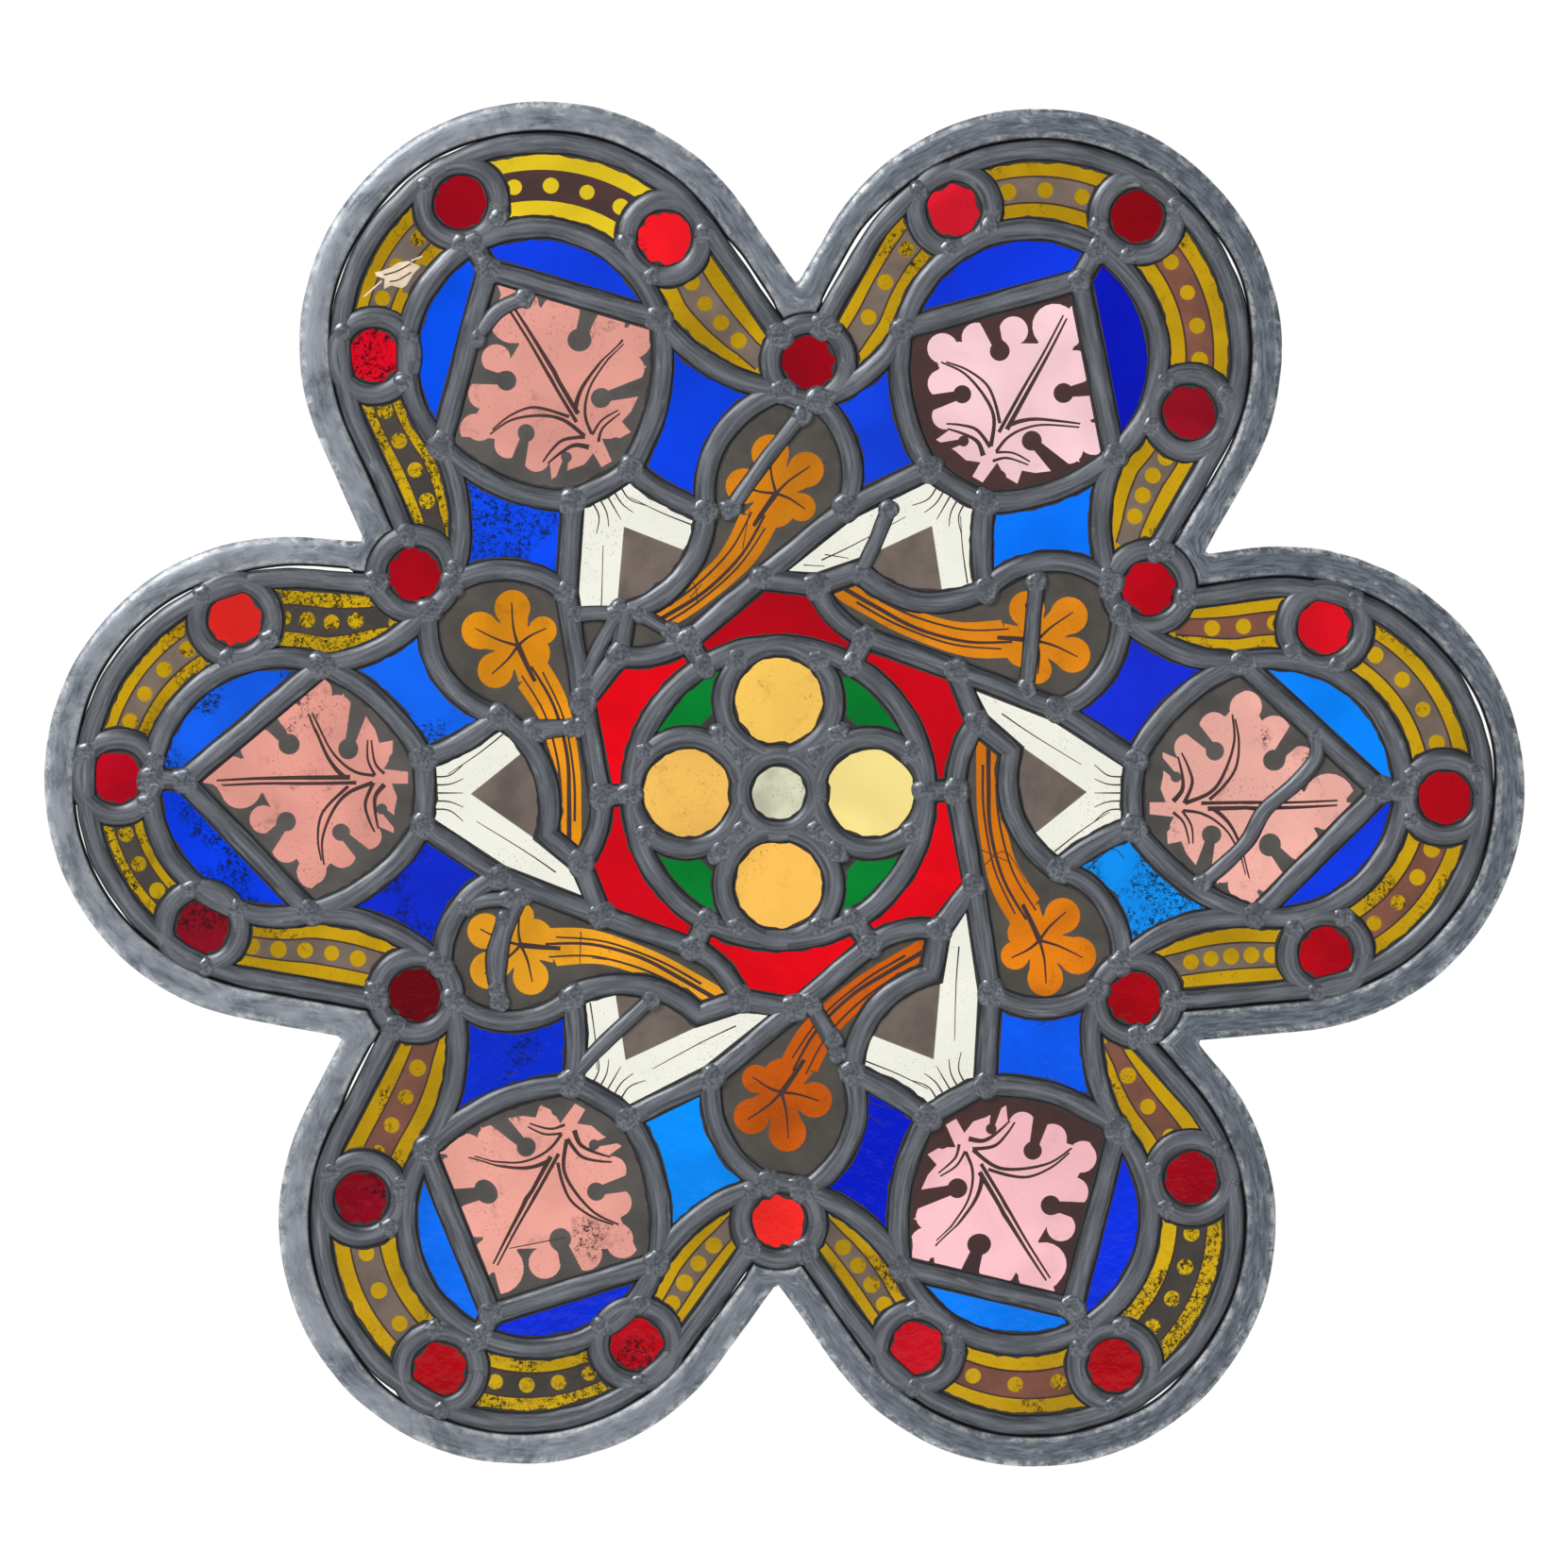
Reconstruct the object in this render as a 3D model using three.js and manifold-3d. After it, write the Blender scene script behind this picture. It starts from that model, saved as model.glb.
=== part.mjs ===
import * as THREE from "three";
import Module from "manifold-3d";

// A six-lobed stained glass window: glass panes held in lead cames inside a wide edge came.
// Sizes are in millimetres. The plan is drawn about the middle of the window, x to the right and
// y up, and becomes X and Z. Depths are drawn from the middle of the glass, with the front towards
// -Y, and the whole is then moved so that the flat back of the edge came lies at Y = 0.

// Lead section
const CAME = 9.0; // face width of a came
const CROWN = 4.4; // width of the flat on its rounded front
const HEART = 1.6; // thickness of the web between two panes
const FRONT_Y = -3.5; // crown of the cames
const BACK_Y = 3.0; // back of the cames
const BACK_LIP = 8.4; // face width at the back
const GLASS = 3.0; // glass thickness
const FIT = 0.3; // clearance round the glass, and between the leadwork and the edge came
const CHANNEL = GLASS + 2 * FIT;
const BLUNT = 6.0; // how far a glass corner reaches under the lead before it is nipped off

// Edge came
const EDGE_BACK_Y = 3.5;
const EDGE_SIDE_Y = -1.6;
const EDGE_FRONT_Y = -4.4;
const EDGE_SLOPE = 3.6; // how far the crown starts from either side

// Centre
const RING = 60.5; // radius of the lead ring round the centre
const ROUNDEL = 15.9; // radius of the lead round the clear roundel
const FOIL_BITE = 1.2; // how far the leads of an amber pane run into the ring and the roundel
const FOIL = (RING - ROUNDEL + FOIL_BITE) / 2; // radius of the lead round each amber pane
const FOIL_AT = RING + 0.1 - FOIL; // from the middle of the window to the middle of an amber pane
const GREEN_LENGTH = 23.5; // from the ring to the flat inner end of a green pane
const GREEN_AT = RING - GREEN_LENGTH;

// Each of the six sectors, in its own turn of 60 degrees: where its leads meet, out from the ring
// and sideways
const JOINT = {
  ringLink: [0, 0.6],
  scrollSide: [12.4, 1.2],
  scrollTip: [21.0, 28.7],
  redCorner: [12.4, 50.4],
  strapElbow: [34.9, 17.1],
  strapFoot: [54.3, -31.8],
  strapHead: [54.3, 34.5],
  leafUpper: [85.8, 13.2],
  leafLower: [85.4, -14.0],
};

// Lobes
const LOBE_RING = 53.2; // radius of the lead round a lobe's leaf and blue panes
const BAND_WIDTH = 29.6; // beaded band, from lead line to lead line
const BORDER = LOBE_RING + BAND_WIDTH; // radius of the lead along the beaded band
const BORDER_SIDE = 4.1; // from the middle of that lead to the edge came
const RIM_IN = BORDER + BORDER_SIDE; // radius where the leadwork ends and the edge came begins
const EDGE_WIDTH = 14.0; // face width of the edge came
const RIM_OUT = RIM_IN + EDGE_WIDTH; // radius of the outline of a lobe
const JEWEL_LAP = 1.0; // how far the lead round a jewel runs into the leads along the band
const JEWEL_RING = BAND_WIDTH / 2 + JEWEL_LAP; // radius of the lead round a red jewel
const CUSP_SIDE = 3.8; // from the middle of the lead round the jewel between two lobes to its side
const CUSP_LEAD = JEWEL_RING + CUSP_SIDE;

// The glazier's hand: each lobe sits a little off the regular plan. Places are out from the ring
// round the centre and sideways, in the lobe's own turn.
// rim and ring: middles of the outline and of the lobe ring. tip: outer corner of the leaf.
// ends: where on the lobe ring the leaf's leads end. runs: where the straight runs of the outline
// touch its arc. jewels: angle, and how far outside the middle of the band. cusp: the jewel after
// this lobe, as how much further out it is than the ring and the border radius, and its angle.
const LOBES = [
  { name: "right", rim: [145.9, 1.6], ring: [142.8, 1.9], tip: [186.7, 0.8],
    ends: [104, -98], runs: [-85.1, 97.9],
    jewels: [[75, 0.7], [-3, -0.8], [-75, 1.8]], cusp: [30.5, 29] },
  { name: "upper_right", rim: [149.8, -1.9], ring: [145.5, 0.0], tip: [183.6, -1.6],
    ends: [107, -109], runs: [-89.8, 90.3],
    jewels: [[61, -0.1], [-6, 0.7], [-82, -1.3]], cusp: [34.0, 26] },
  { name: "upper_left", rim: [147.5, -8.1], ring: [144.4, -3.1], tip: [185.5, -3.9],
    ends: [103, -103], runs: [-85.5, 84.4],
    jewels: [[64, 1.5], [0, -0.8], [-79, -1.6]], cusp: [31.3, 29] },
  { name: "left", rim: [141.3, -5.4], ring: [144.4, -2.3], tip: [183.6, -5.0],
    ends: [104, -109], runs: [-94.3, 79.9],
    jewels: [[60, 1.8], [-1, 1.8], [-72, 1.4]], cusp: [27.4, 29] },
  { name: "lower_left", rim: [144.4, -3.5], ring: [140.9, 0.8], tip: [183.9, 4.6],
    ends: [100, -92], runs: [-87.1, 84.1],
    jewels: [[73, 1.0], [1, 1.6], [-68, -1.6]], cusp: [32.5, 30] },
  { name: "lower_right", rim: [144.8, 1.9], ring: [139.3, -0.8], tip: [182.7, -1.6],
    ends: [101, -96], runs: [-84.8, 101.1],
    jewels: [[76, -0.1], [0, -0.8], [-73, 1.8]], cusp: [25.5, 30] },
];

// Height of the middle of the window over the seat at the lower notch
const MIDDLE_Z = 198.6;

const rad = (deg) => (deg * Math.PI) / 180;
const add = (a, b, s = 1) => [a[0] + b[0] * s, a[1] + b[1] * s];
const sub = (a, b) => [a[0] - b[0], a[1] - b[1]];
const len = (a) => Math.hypot(a[0], a[1]);
const unit = (a) => [a[0] / len(a), a[1] / len(a)];
const left = (a) => [-a[1], a[0]];
const dot = (a, b) => a[0] * b[0] + a[1] * b[1];
const polar = (r, deg) => [r * Math.cos(rad(deg)), r * Math.sin(rad(deg))];
const turned = (p, deg) => {
  const [c, s] = polar(1, deg);
  return [p[0] * c - p[1] * s, p[0] * s + p[1] * c];
};
const angleOf = (a) => Math.atan2(a[1], a[0]);

// A side of a pane runs from a to b. turn is 0 for a straight lead, 1 for one that bends round a
// middle on its left, and -1 for one on its right. steps is the number of facets.
function lead(a, b, bulge = 0, steps = 1) {
  if (!bulge) return { a, b, turn: 0, steps: 1 };
  const half = len(sub(b, a)) / 2;
  const radius = (half * (1 + bulge * bulge)) / (2 * Math.abs(bulge));
  const middle = add(a, sub(b, a), 0.5);
  const away = bulge * half - Math.sign(bulge) * radius;
  const centre = add(middle, left(unit(sub(b, a))), away);
  return { a, b, turn: -Math.sign(bulge), centre, radius, steps };
}

// A side that follows a circle.
const round = (centre, radius, turn, a, b, steps) => ({ a, b, turn, centre, radius, steps });

// A side whose end is only known as its crossing with the next side, on the side of a given point.
const upTo = (near, side, steps = side.steps) => ({ ...side, near, steps });

const back = (side) => ({ ...side, a: side.b, b: side.a, turn: -side.turn });

// The direction a side runs in at one of its points.
function heading(side, p) {
  if (!side.turn) return unit(sub(side.b, side.a));
  const out = unit(sub(p, side.centre));
  return [-out[1] * side.turn, out[0] * side.turn];
}

// The side moved d to its left, into the pane.
function moved(side, d) {
  if (side.turn) return { ...side, radius: side.radius - side.turn * d };
  const shift = left(heading(side, side.a));
  return { ...side, a: add(side.a, shift, d), b: add(side.b, shift, d) };
}

// The points where two sides cross.
function crossings(p, q) {
  if (!p.turn && !q.turn) {
    const u = heading(p, p.a);
    const n = left(heading(q, q.a));
    return [add(p.a, u, dot(sub(q.a, p.a), n) / dot(u, n))];
  }
  if (!p.turn) {
    const u = heading(p, p.a);
    const foot = add(p.a, u, dot(sub(q.centre, p.a), u));
    const reach = Math.sqrt(Math.max(0, q.radius ** 2 - len(sub(foot, q.centre)) ** 2));
    return [add(foot, u, reach), add(foot, u, -reach)];
  }
  if (!q.turn) return crossings(q, p);
  const apart = len(sub(q.centre, p.centre));
  const u = unit(sub(q.centre, p.centre));
  const along = (apart ** 2 + p.radius ** 2 - q.radius ** 2) / (2 * apart);
  const reach = Math.sqrt(Math.max(0, p.radius ** 2 - along ** 2));
  const foot = add(p.centre, u, along);
  return [add(foot, left(u), reach), add(foot, left(u), -reach)];
}

// The corner between a side and the next one, d inside the lead lines.
function corner(side, next, d) {
  if (!side.near) {
    const u = heading(side, side.b);
    const v = heading(next, next.a);
    if (dot(u, v) > 0.97) return add(side.b, unit(left(add(u, v))), d);
  }
  const hint = side.near ?? side.b;
  const found = crossings(moved(side, d), moved(next, d));
  return found.sort((a, b) => len(sub(a, hint)) - len(sub(b, hint)))[0];
}

const circle = (centre, radius, sides) =>
  Array.from({ length: sides }, (_, i) => add(centre, polar(radius, (360 * i) / sides)));

// The outline d inside a closed run of sides, with its sharp corners nipped off.
function outline(sides, d) {
  if (sides.length === 1) return circle(sides[0].centre, sides[0].radius - d, sides[0].steps);
  const sight = CAME / 2;
  const corners = sides.map((side, i) => {
    const next = sides[(i + 1) % sides.length];
    const ideal = corner(side, next, d);
    const seen = corner(side, next, sight);
    const reach = len(sub(ideal, seen));
    const limit = (BLUNT * Math.abs(sight - d)) / (sight - HEART / 2);
    return reach > limit ? add(seen, sub(ideal, seen), limit / reach) : ideal;
  });
  const points = [];
  sides.forEach((side, i) => {
    const from = corners[(i + sides.length - 1) % sides.length];
    points.push(from);
    if (!side.turn) return;
    const { centre, radius, turn, steps } = moved(side, d);
    const start = angleOf(sub(from, centre));
    const full = 2 * Math.PI;
    const sweep = (((angleOf(sub(corners[i], centre)) - start) * turn) % full + full) % full;
    for (let k = 1; k < steps; k++) {
      const angle = start + (turn * sweep * k) / steps;
      points.push(add(centre, [Math.cos(angle), Math.sin(angle)], radius));
    }
  });
  return points;
}

// The same outline drawn d further in, edge by edge.
function inset(points, d) {
  const n = points.length;
  return points.map((p, i) => {
    const u = unit(sub(p, points[(i + n - 1) % n]));
    const v = unit(sub(points[(i + 1) % n], p));
    return add(p, left(add(u, v)), d / (1 + dot(u, v)));
  });
}

const wasm = await Module();
wasm.setup();

// A closed body through rings of equal point counts, from the front one to the back one.
function body(rings) {
  const n = rings[0].points.length;
  const position = rings.flatMap(({ points, y }) =>
    points.flatMap((p) => [p[0], y - EDGE_BACK_Y, p[1] + MIDDLE_Z]),
  );
  const index = [];
  const cap = (points) => THREE.ShapeUtils.triangulateShape(points.map((p) => new THREE.Vector2(...p)), []);
  for (const [a, b, c] of cap(rings[0].points)) index.push(a, b, c);
  for (let r = 0; r + 1 < rings.length; r++) {
    for (let i = 0; i < n; i++) {
      const j = (i + 1) % n;
      const [a, b, c, d] = [r * n + i, r * n + j, (r + 1) * n + i, (r + 1) * n + j];
      index.push(a, c, d, a, d, b);
    }
  }
  const last = (rings.length - 1) * n;
  for (const [a, b, c] of cap(rings[rings.length - 1].points)) index.push(last + a, last + c, last + b);
  return new wasm.Manifold(
    new wasm.Mesh({ numProp: 3, vertProperties: new Float32Array(position), triVerts: new Uint32Array(index) }),
  );
}

const slab = (points, front, rear) => body([{ points, y: front }, { points, y: rear }]);
const union = (bodies) => bodies.reduce((sum, b) => sum.add(b));

// The opening and the glass channel that one pane needs in the leadwork.
function channel(sides) {
  const crown = outline(sides, CROWN / 2);
  const sight = outline(sides, CAME / 2);
  const heart = outline(sides, HEART / 2);
  const rear = outline(sides, BACK_LIP / 2);
  return body([
    { points: crown, y: FRONT_Y },
    { points: sight, y: -CHANNEL / 2 },
    { points: heart, y: -CHANNEL / 2 },
    { points: heart, y: CHANNEL / 2 },
    { points: rear, y: BACK_Y },
  ]);
}

const pane = (sides) => slab(inset(outline(sides, HEART / 2), FIT), -GLASS / 2, GLASS / 2);

// Lead plan of the centre
const whole = [0, 0];
const cells = [];
const cell = (name, look, sides) => cells.push({ name, look, sides });

cell("centre_roundel", "clear", [round(whole, ROUNDEL, 1, whole, whole, 8)]);
["right", "top", "left", "bottom"].forEach((place, i) => {
  const at = polar(FOIL_AT, 90 * i);
  const bite = crossings(round(whole, ROUNDEL, 1), round(at, FOIL, 1));
  cell("centre_amber_" + place, place === "right" ? "pale_amber" : "amber", [
    round(at, FOIL, 1, bite[1], bite[0], 8),
    round(whole, ROUNDEL, -1, bite[0], bite[1], 1),
  ]);
});
["upper_right", "upper_left", "lower_left", "lower_right"].forEach((place, i) => {
  const one = polar(FOIL_AT, 90 * i);
  const other = polar(FOIL_AT, 90 * (i + 1));
  const flat = turned([GREEN_AT, 0], 90 * i + 45);
  const across = polar(5, 90 * i - 45);
  const middle = polar((GREEN_AT + RING) / 2, 90 * i + 45);
  cell("centre_green_" + place, "green", [
    upTo(middle, round(one, FOIL, -1, add(flat, across), one, 2)),
    upTo(middle, round(whole, RING, 1, one, other, 2)),
    upTo(middle, round(other, FOIL, -1, other, sub(flat, across), 2)),
    lead(sub(flat, across), add(flat, across)),
  ]);
});

// Lead plan of the six sectors
const sectors = LOBES.map((lobe, k) => {
  const turn = 60 * k;
  const place = ([out, side]) => turned([RING + out, side], turn);
  const joint = Object.fromEntries(Object.entries(JOINT).map(([name, p]) => [name, place(p)]));
  const cuspAngle = turn + lobe.cusp[1];
  const cusp = polar(RING + BORDER + lobe.cusp[0], cuspAngle);
  const ring = place(lobe.ring);
  const rim = place(lobe.rim);
  const jewelAt = BORDER - BAND_WIDTH / 2;
  const tip = place(lobe.tip);
  return {
    ...joint,
    name: lobe.name,
    rim,
    runs: lobe.runs.map((angle) => polar(1, turn + angle)),
    ring,
    cusp,
    jewels: lobe.jewels.map(([angle, off]) => add(rim, polar(jewelAt + off, turn + angle))),
    tip,
    leafLeft: add(ring, polar(LOBE_RING, turn + lobe.ends[0])),
    leafRight: add(ring, polar(LOBE_RING, turn + lobe.ends[1])),
    tipOnRing: add(ring, unit(sub(tip, ring)), LOBE_RING),
    // on the lead round the cusp jewel: the ends of this lobe's lead, and of the next lobe's
    tailEnd: add(cusp, polar(JEWEL_RING, cuspAngle + 195)),
    nextTailEnd: add(cusp, polar(JEWEL_RING, cuspAngle + 142)),
  };
});

// Where the straight runs of a lobe and of the next one meet, r from the middles of their rims.
function notch(k, r) {
  const line = ({ rim }, way) => lead(add(rim, way, r), add(add(rim, way, r), left(way)));
  const next = sectors[(k + 1) % 6];
  return crossings(line(sectors[k], sectors[k].runs[1]), line(next, next.runs[0]))[0];
}

// A lobe's edge, r from the middle of its rim: the run from the notch before it, the arc, and the
// run to the notch after it.
function edge(k, r, steps) {
  const { rim, runs } = sectors[k];
  const [arcFrom, arcTo] = runs.map((way) => add(rim, way, r));
  return [
    lead(notch((k + 5) % 6, r), arcFrom),
    round(rim, r, 1, arcFrom, arcTo, steps),
    lead(arcTo, notch(k, r)),
  ];
}

const bandCells = [];
const bandRuns = [];
sectors.forEach((s, k) => {
  const next = sectors[(k + 1) % 6];
  const prev = sectors[(k + 5) % 6];

  const scrollInner = lead(s.scrollSide, s.scrollTip, 0.2, 2);
  const tipToCorner = lead(s.scrollTip, s.redCorner);
  const elbow = lead(s.scrollTip, s.strapElbow);
  const scrollOuter = lead(s.strapElbow, s.strapFoot, -0.33, 3);
  const headOuter = lead(prev.nextTailEnd, s.strapFoot, -0.38, 3);
  const headInner = lead(prev.strapHead, prev.tailEnd, -0.33, 3);
  const nextHeadInner = lead(s.strapHead, s.tailEnd, -0.33, 3);
  const strapLower = lead(s.strapFoot, s.leafLower, 0.1, 1);
  const strapUpper = lead(s.leafUpper, s.strapHead);
  const leafBase = lead(s.leafLower, s.leafUpper, 0.06, 1);
  const leafSideLeft = lead(s.leafUpper, s.leafLeft, 0.2, 2);
  const leafSideRight = lead(s.leafRight, s.leafLower, 0.18, 2);
  const ringLeft = round(s.ring, LOBE_RING, 1, s.tipOnRing, s.leafLeft, 4);
  const ringRight = round(s.ring, LOBE_RING, 1, s.leafRight, s.tipOnRing, 4);
  const tailLeft = lead(s.leafLeft, s.tailEnd, 0.2, 2);
  const tailRight = lead(prev.nextTailEnd, s.leafRight, 0.2, 2);

  cell("red_" + ["right_upper", "top", "left_upper", "left_lower", "bottom", "right_lower"][k], "red", [
    lead(s.ringLink, s.scrollSide),
    scrollInner,
    tipToCorner,
    lead(s.redCorner, next.scrollSide),
    lead(next.scrollSide, next.ringLink),
    round(whole, RING, -1, next.ringLink, s.ringLink, 3),
  ]);
  cell(s.name + "_lobe_scroll", "scroll", [
    back(scrollInner),
    lead(s.scrollSide, prev.redCorner),
    lead(prev.redCorner, prev.strapHead),
    headInner,
    round(prev.cusp, JEWEL_RING, -1, prev.tailEnd, prev.nextTailEnd, 2),
    headOuter,
    back(scrollOuter),
    back(elbow),
  ]);
  cell(s.name + "_lobe_strap", "strap", [
    back(tipToCorner),
    elbow,
    scrollOuter,
    strapLower,
    leafBase,
    strapUpper,
    lead(s.strapHead, s.redCorner),
  ]);
  cell(s.name + "_lobe_leaf", "leaf", [
    back(leafSideLeft),
    back(leafBase),
    back(leafSideRight),
    lead(s.leafRight, s.tip),
    lead(s.tip, s.leafLeft),
  ]);
  cell(s.name + "_lobe_blue_inner_left", "blue", [
    back(strapUpper),
    leafSideLeft,
    tailLeft,
    back(nextHeadInner),
  ]);
  cell(s.name + "_lobe_blue_inner_right", "blue", [
    back(headOuter),
    tailRight,
    leafSideRight,
    back(strapLower),
  ]);
  cell(s.name + "_lobe_blue_outer_left", "blue", [
    lead(s.leafLeft, s.tip),
    lead(s.tip, s.tipOnRing),
    ringLeft,
  ]);
  cell(s.name + "_lobe_blue_outer_right", "blue", [
    ringRight,
    lead(s.tipOnRing, s.tip),
    lead(s.tip, s.leafRight),
  ]);

  // The beaded band: gold panes between jewels
  const [runIn, arc, runOut] = edge(k, BORDER, 2);
  const inner = round(s.ring, LOBE_RING, -1, s.leafLeft, s.leafRight, 2);
  const around = (at) => round(at, JEWEL_RING, -1, at, at, 2);
  const between = (p, q) => add(p, sub(q, p), 0.5);
  const [jewelLeft, jewelTop, jewelRight] = s.jewels;
  for (const [one, other] of [[jewelRight, jewelTop], [jewelTop, jewelLeft]]) {
    const near = between(one, other);
    bandCells.push([upTo(near, arc), upTo(near, around(other)), upTo(near, inner), upTo(near, around(one))]);
  }
  const nearLeft = between(jewelLeft, s.cusp);
  bandCells.push([
    upTo(nearLeft, runOut),
    upTo(nearLeft, around(s.cusp)),
    back(tailLeft),
    upTo(nearLeft, inner),
    upTo(nearLeft, around(jewelLeft)),
  ]);
  const nearRight = between(jewelRight, prev.cusp);
  bandCells.push([
    upTo(nearRight, runIn),
    upTo(nearRight, around(jewelRight)),
    inner,
    upTo(nearRight, back(tailRight)),
    upTo(nearRight, around(prev.cusp)),
  ]);
  for (const at of [...s.jewels, s.cusp]) bandCells.push([round(at, JEWEL_RING, 1, at, at, 8)]);

  // The whole run of the band through this lobe, ending inside the jewels on either side
  const onRun = (run, at) => add(run.a, heading(run, run.a), dot(sub(at, run.a), heading(run, run.a)));
  const entry = onRun(runIn, prev.cusp);
  const exit = onRun(runOut, s.cusp);
  bandRuns.push([
    lead(entry, runIn.b),
    round(s.rim, BORDER, 1, runIn.b, runOut.a, 8),
    lead(runOut.a, exit),
    lead(exit, s.tailEnd),
    back(tailLeft),
    back(ringLeft),
    back(ringRight),
    back(tailRight),
    lead(prev.nextTailEnd, entry),
  ]);
});

// A body along the whole band, through levels that say how far inside the lead lines it is, how
// much further its fit is, and its depth
function band(levels) {
  const along = (shape) => body(levels.map(({ d, fit = 0, y }) => ({ points: inset(shape(d), fit), y })));
  const runs = bandRuns.map((run) => along((d) => outline(run, d)));
  const eyes = sectors.map((s) => along((d) => circle(s.cusp, JEWEL_RING - d, 8)));
  return union([...runs, ...eyes]);
}

function frontOpening(sides) {
  const sight = outline(sides, CAME / 2);
  return body([
    { points: outline(sides, CROWN / 2), y: FRONT_Y },
    { points: sight, y: -CHANNEL / 2 },
    { points: sight, y: 0 },
  ]);
}

// Outline of the window, and of the leadwork inside the edge came
const rimSides = sectors.flatMap((s, k) => edge(k, RIM_OUT, 10));
const leadworkSides = sectors.flatMap((s, k) => {
  const [runIn, arc, runOut] = edge(k, RIM_IN, 10);
  const prev = sectors[(k + 5) % 6];
  const meet = (run, at) => crossings(run, round(at, CUSP_LEAD, 1)).sort((a, b) => len(b) - len(a));
  const start = meet(runIn, prev.cusp)[0];
  const end = meet(runOut, s.cusp)[0];
  return [lead(start, runIn.b), arc, lead(runOut.a, end), round(s.cusp, CUSP_LEAD, 1, end, end, 3)];
});
const leadworkEdge = outline(leadworkSides, 0);

// The leadwork: a plate with every pane's channel and opening cut out of it
let leadwork = slab(inset(leadworkEdge, FIT / 2), FRONT_Y, BACK_Y);
for (const { sides } of cells) leadwork = leadwork.subtract(channel(sides));
leadwork = leadwork.subtract(
  band([
    { d: HEART / 2, y: -CHANNEL / 2 },
    { d: HEART / 2, y: CHANNEL / 2 },
    { d: BACK_LIP / 2, y: BACK_Y },
  ]),
);
for (const sides of bandCells) leadwork = leadwork.subtract(frontOpening(sides));

// The edge came: its crown slopes down to both sides, and its back is flat
const rim = outline(rimSides, 0);
const edgeCame = body([
  { points: inset(rim, EDGE_SLOPE), y: EDGE_FRONT_Y },
  { points: rim, y: EDGE_SIDE_Y },
  { points: rim, y: EDGE_BACK_Y },
]).subtract(
  body([
    { points: inset(leadworkEdge, -FIT / 2 - EDGE_SLOPE), y: EDGE_FRONT_Y },
    { points: inset(leadworkEdge, -FIT / 2), y: EDGE_SIDE_Y },
    { points: inset(leadworkEdge, -FIT / 2), y: EDGE_BACK_Y },
  ]),
);

const beadedBand = band([
  { d: HEART / 2, fit: FIT, y: -GLASS / 2 },
  { d: HEART / 2, fit: FIT, y: GLASS / 2 },
]);

// Colours as seen with light behind the glass
const LOOKS = {
  lead: ["#565c62", 0.55, 0.85],
  edge_lead: ["#7b8590", 0.6, 0.8],
  band: ["#b8860f", 0.25, 0],
  clear: ["#d7d7b9", 0.15, 0],
  amber: ["#f0be5a", 0.2, 0],
  pale_amber: ["#ffe18c", 0.2, 0],
  green: ["#008732", 0.2, 0],
  red: ["#d00016", 0.2, 0],
  scroll: ["#d9780a", 0.3, 0],
  strap: ["#eeeee1", 0.3, 0],
  leaf: ["#e8a8a0", 0.3, 0],
  blue: ["#0532d7", 0.2, 0],
};

const part = new THREE.Group();
function place(name, look, solid) {
  const { vertProperties, triVerts } = solid.getMesh();
  const geometry = new THREE.BufferGeometry();
  geometry.setAttribute("position", new THREE.BufferAttribute(vertProperties, 3));
  geometry.setIndex(new THREE.BufferAttribute(triVerts, 1));
  const [color, roughness, metalness] = LOOKS[look];
  const mesh = new THREE.Mesh(geometry, new THREE.MeshStandardMaterial({ color, roughness, metalness }));
  mesh.name = name;
  part.add(mesh);
}

place("edge_lead", "edge_lead", edgeCame);
place("inner_leadwork", "lead", leadwork);
place("beaded_band_glass", "band", beadedBand);
for (const { name, look, sides } of cells) place(name, look, pane(sides));

export default part;
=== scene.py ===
"""Looks of a six-lobed stained glass window: leaded panes with kiln paint, in a wide edge came.

The lead plan is drawn in millimetres about the middle of the window, as complex numbers, x to the
right and y up. Depths are drawn from the middle of the glass, with the front towards -Y.
"""

import cmath
import math
from dataclasses import dataclass, replace
from types import SimpleNamespace

import bpy
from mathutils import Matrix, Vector, geometry, noise

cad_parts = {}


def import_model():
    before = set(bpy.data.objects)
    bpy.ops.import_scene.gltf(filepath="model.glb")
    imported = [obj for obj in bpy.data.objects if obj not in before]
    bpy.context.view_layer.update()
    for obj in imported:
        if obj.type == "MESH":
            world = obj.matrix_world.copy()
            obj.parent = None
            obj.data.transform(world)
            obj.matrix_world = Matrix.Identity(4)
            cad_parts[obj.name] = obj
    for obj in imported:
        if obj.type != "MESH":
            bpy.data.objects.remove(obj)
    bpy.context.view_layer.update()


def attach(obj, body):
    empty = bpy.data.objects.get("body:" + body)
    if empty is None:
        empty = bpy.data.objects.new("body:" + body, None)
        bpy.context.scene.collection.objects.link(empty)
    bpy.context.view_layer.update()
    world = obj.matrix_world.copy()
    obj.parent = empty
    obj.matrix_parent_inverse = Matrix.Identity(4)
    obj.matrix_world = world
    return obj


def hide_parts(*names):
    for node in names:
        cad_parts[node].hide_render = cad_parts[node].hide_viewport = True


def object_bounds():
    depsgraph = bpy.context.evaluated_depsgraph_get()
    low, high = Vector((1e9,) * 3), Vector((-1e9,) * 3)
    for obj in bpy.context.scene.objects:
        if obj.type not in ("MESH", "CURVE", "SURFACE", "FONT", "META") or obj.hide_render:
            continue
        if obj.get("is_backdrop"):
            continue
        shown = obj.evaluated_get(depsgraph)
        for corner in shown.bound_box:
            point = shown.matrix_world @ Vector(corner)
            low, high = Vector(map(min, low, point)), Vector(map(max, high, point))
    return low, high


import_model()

MM = 0.001
FLOW = "flow"  # the map of places across and along a came
MIDDLE_Z = 198.6  # height of the middle of the window over the seat at the lower notch
PLANE_Y = -3.5  # depth of the middle of the glass in front of the flat back
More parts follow.
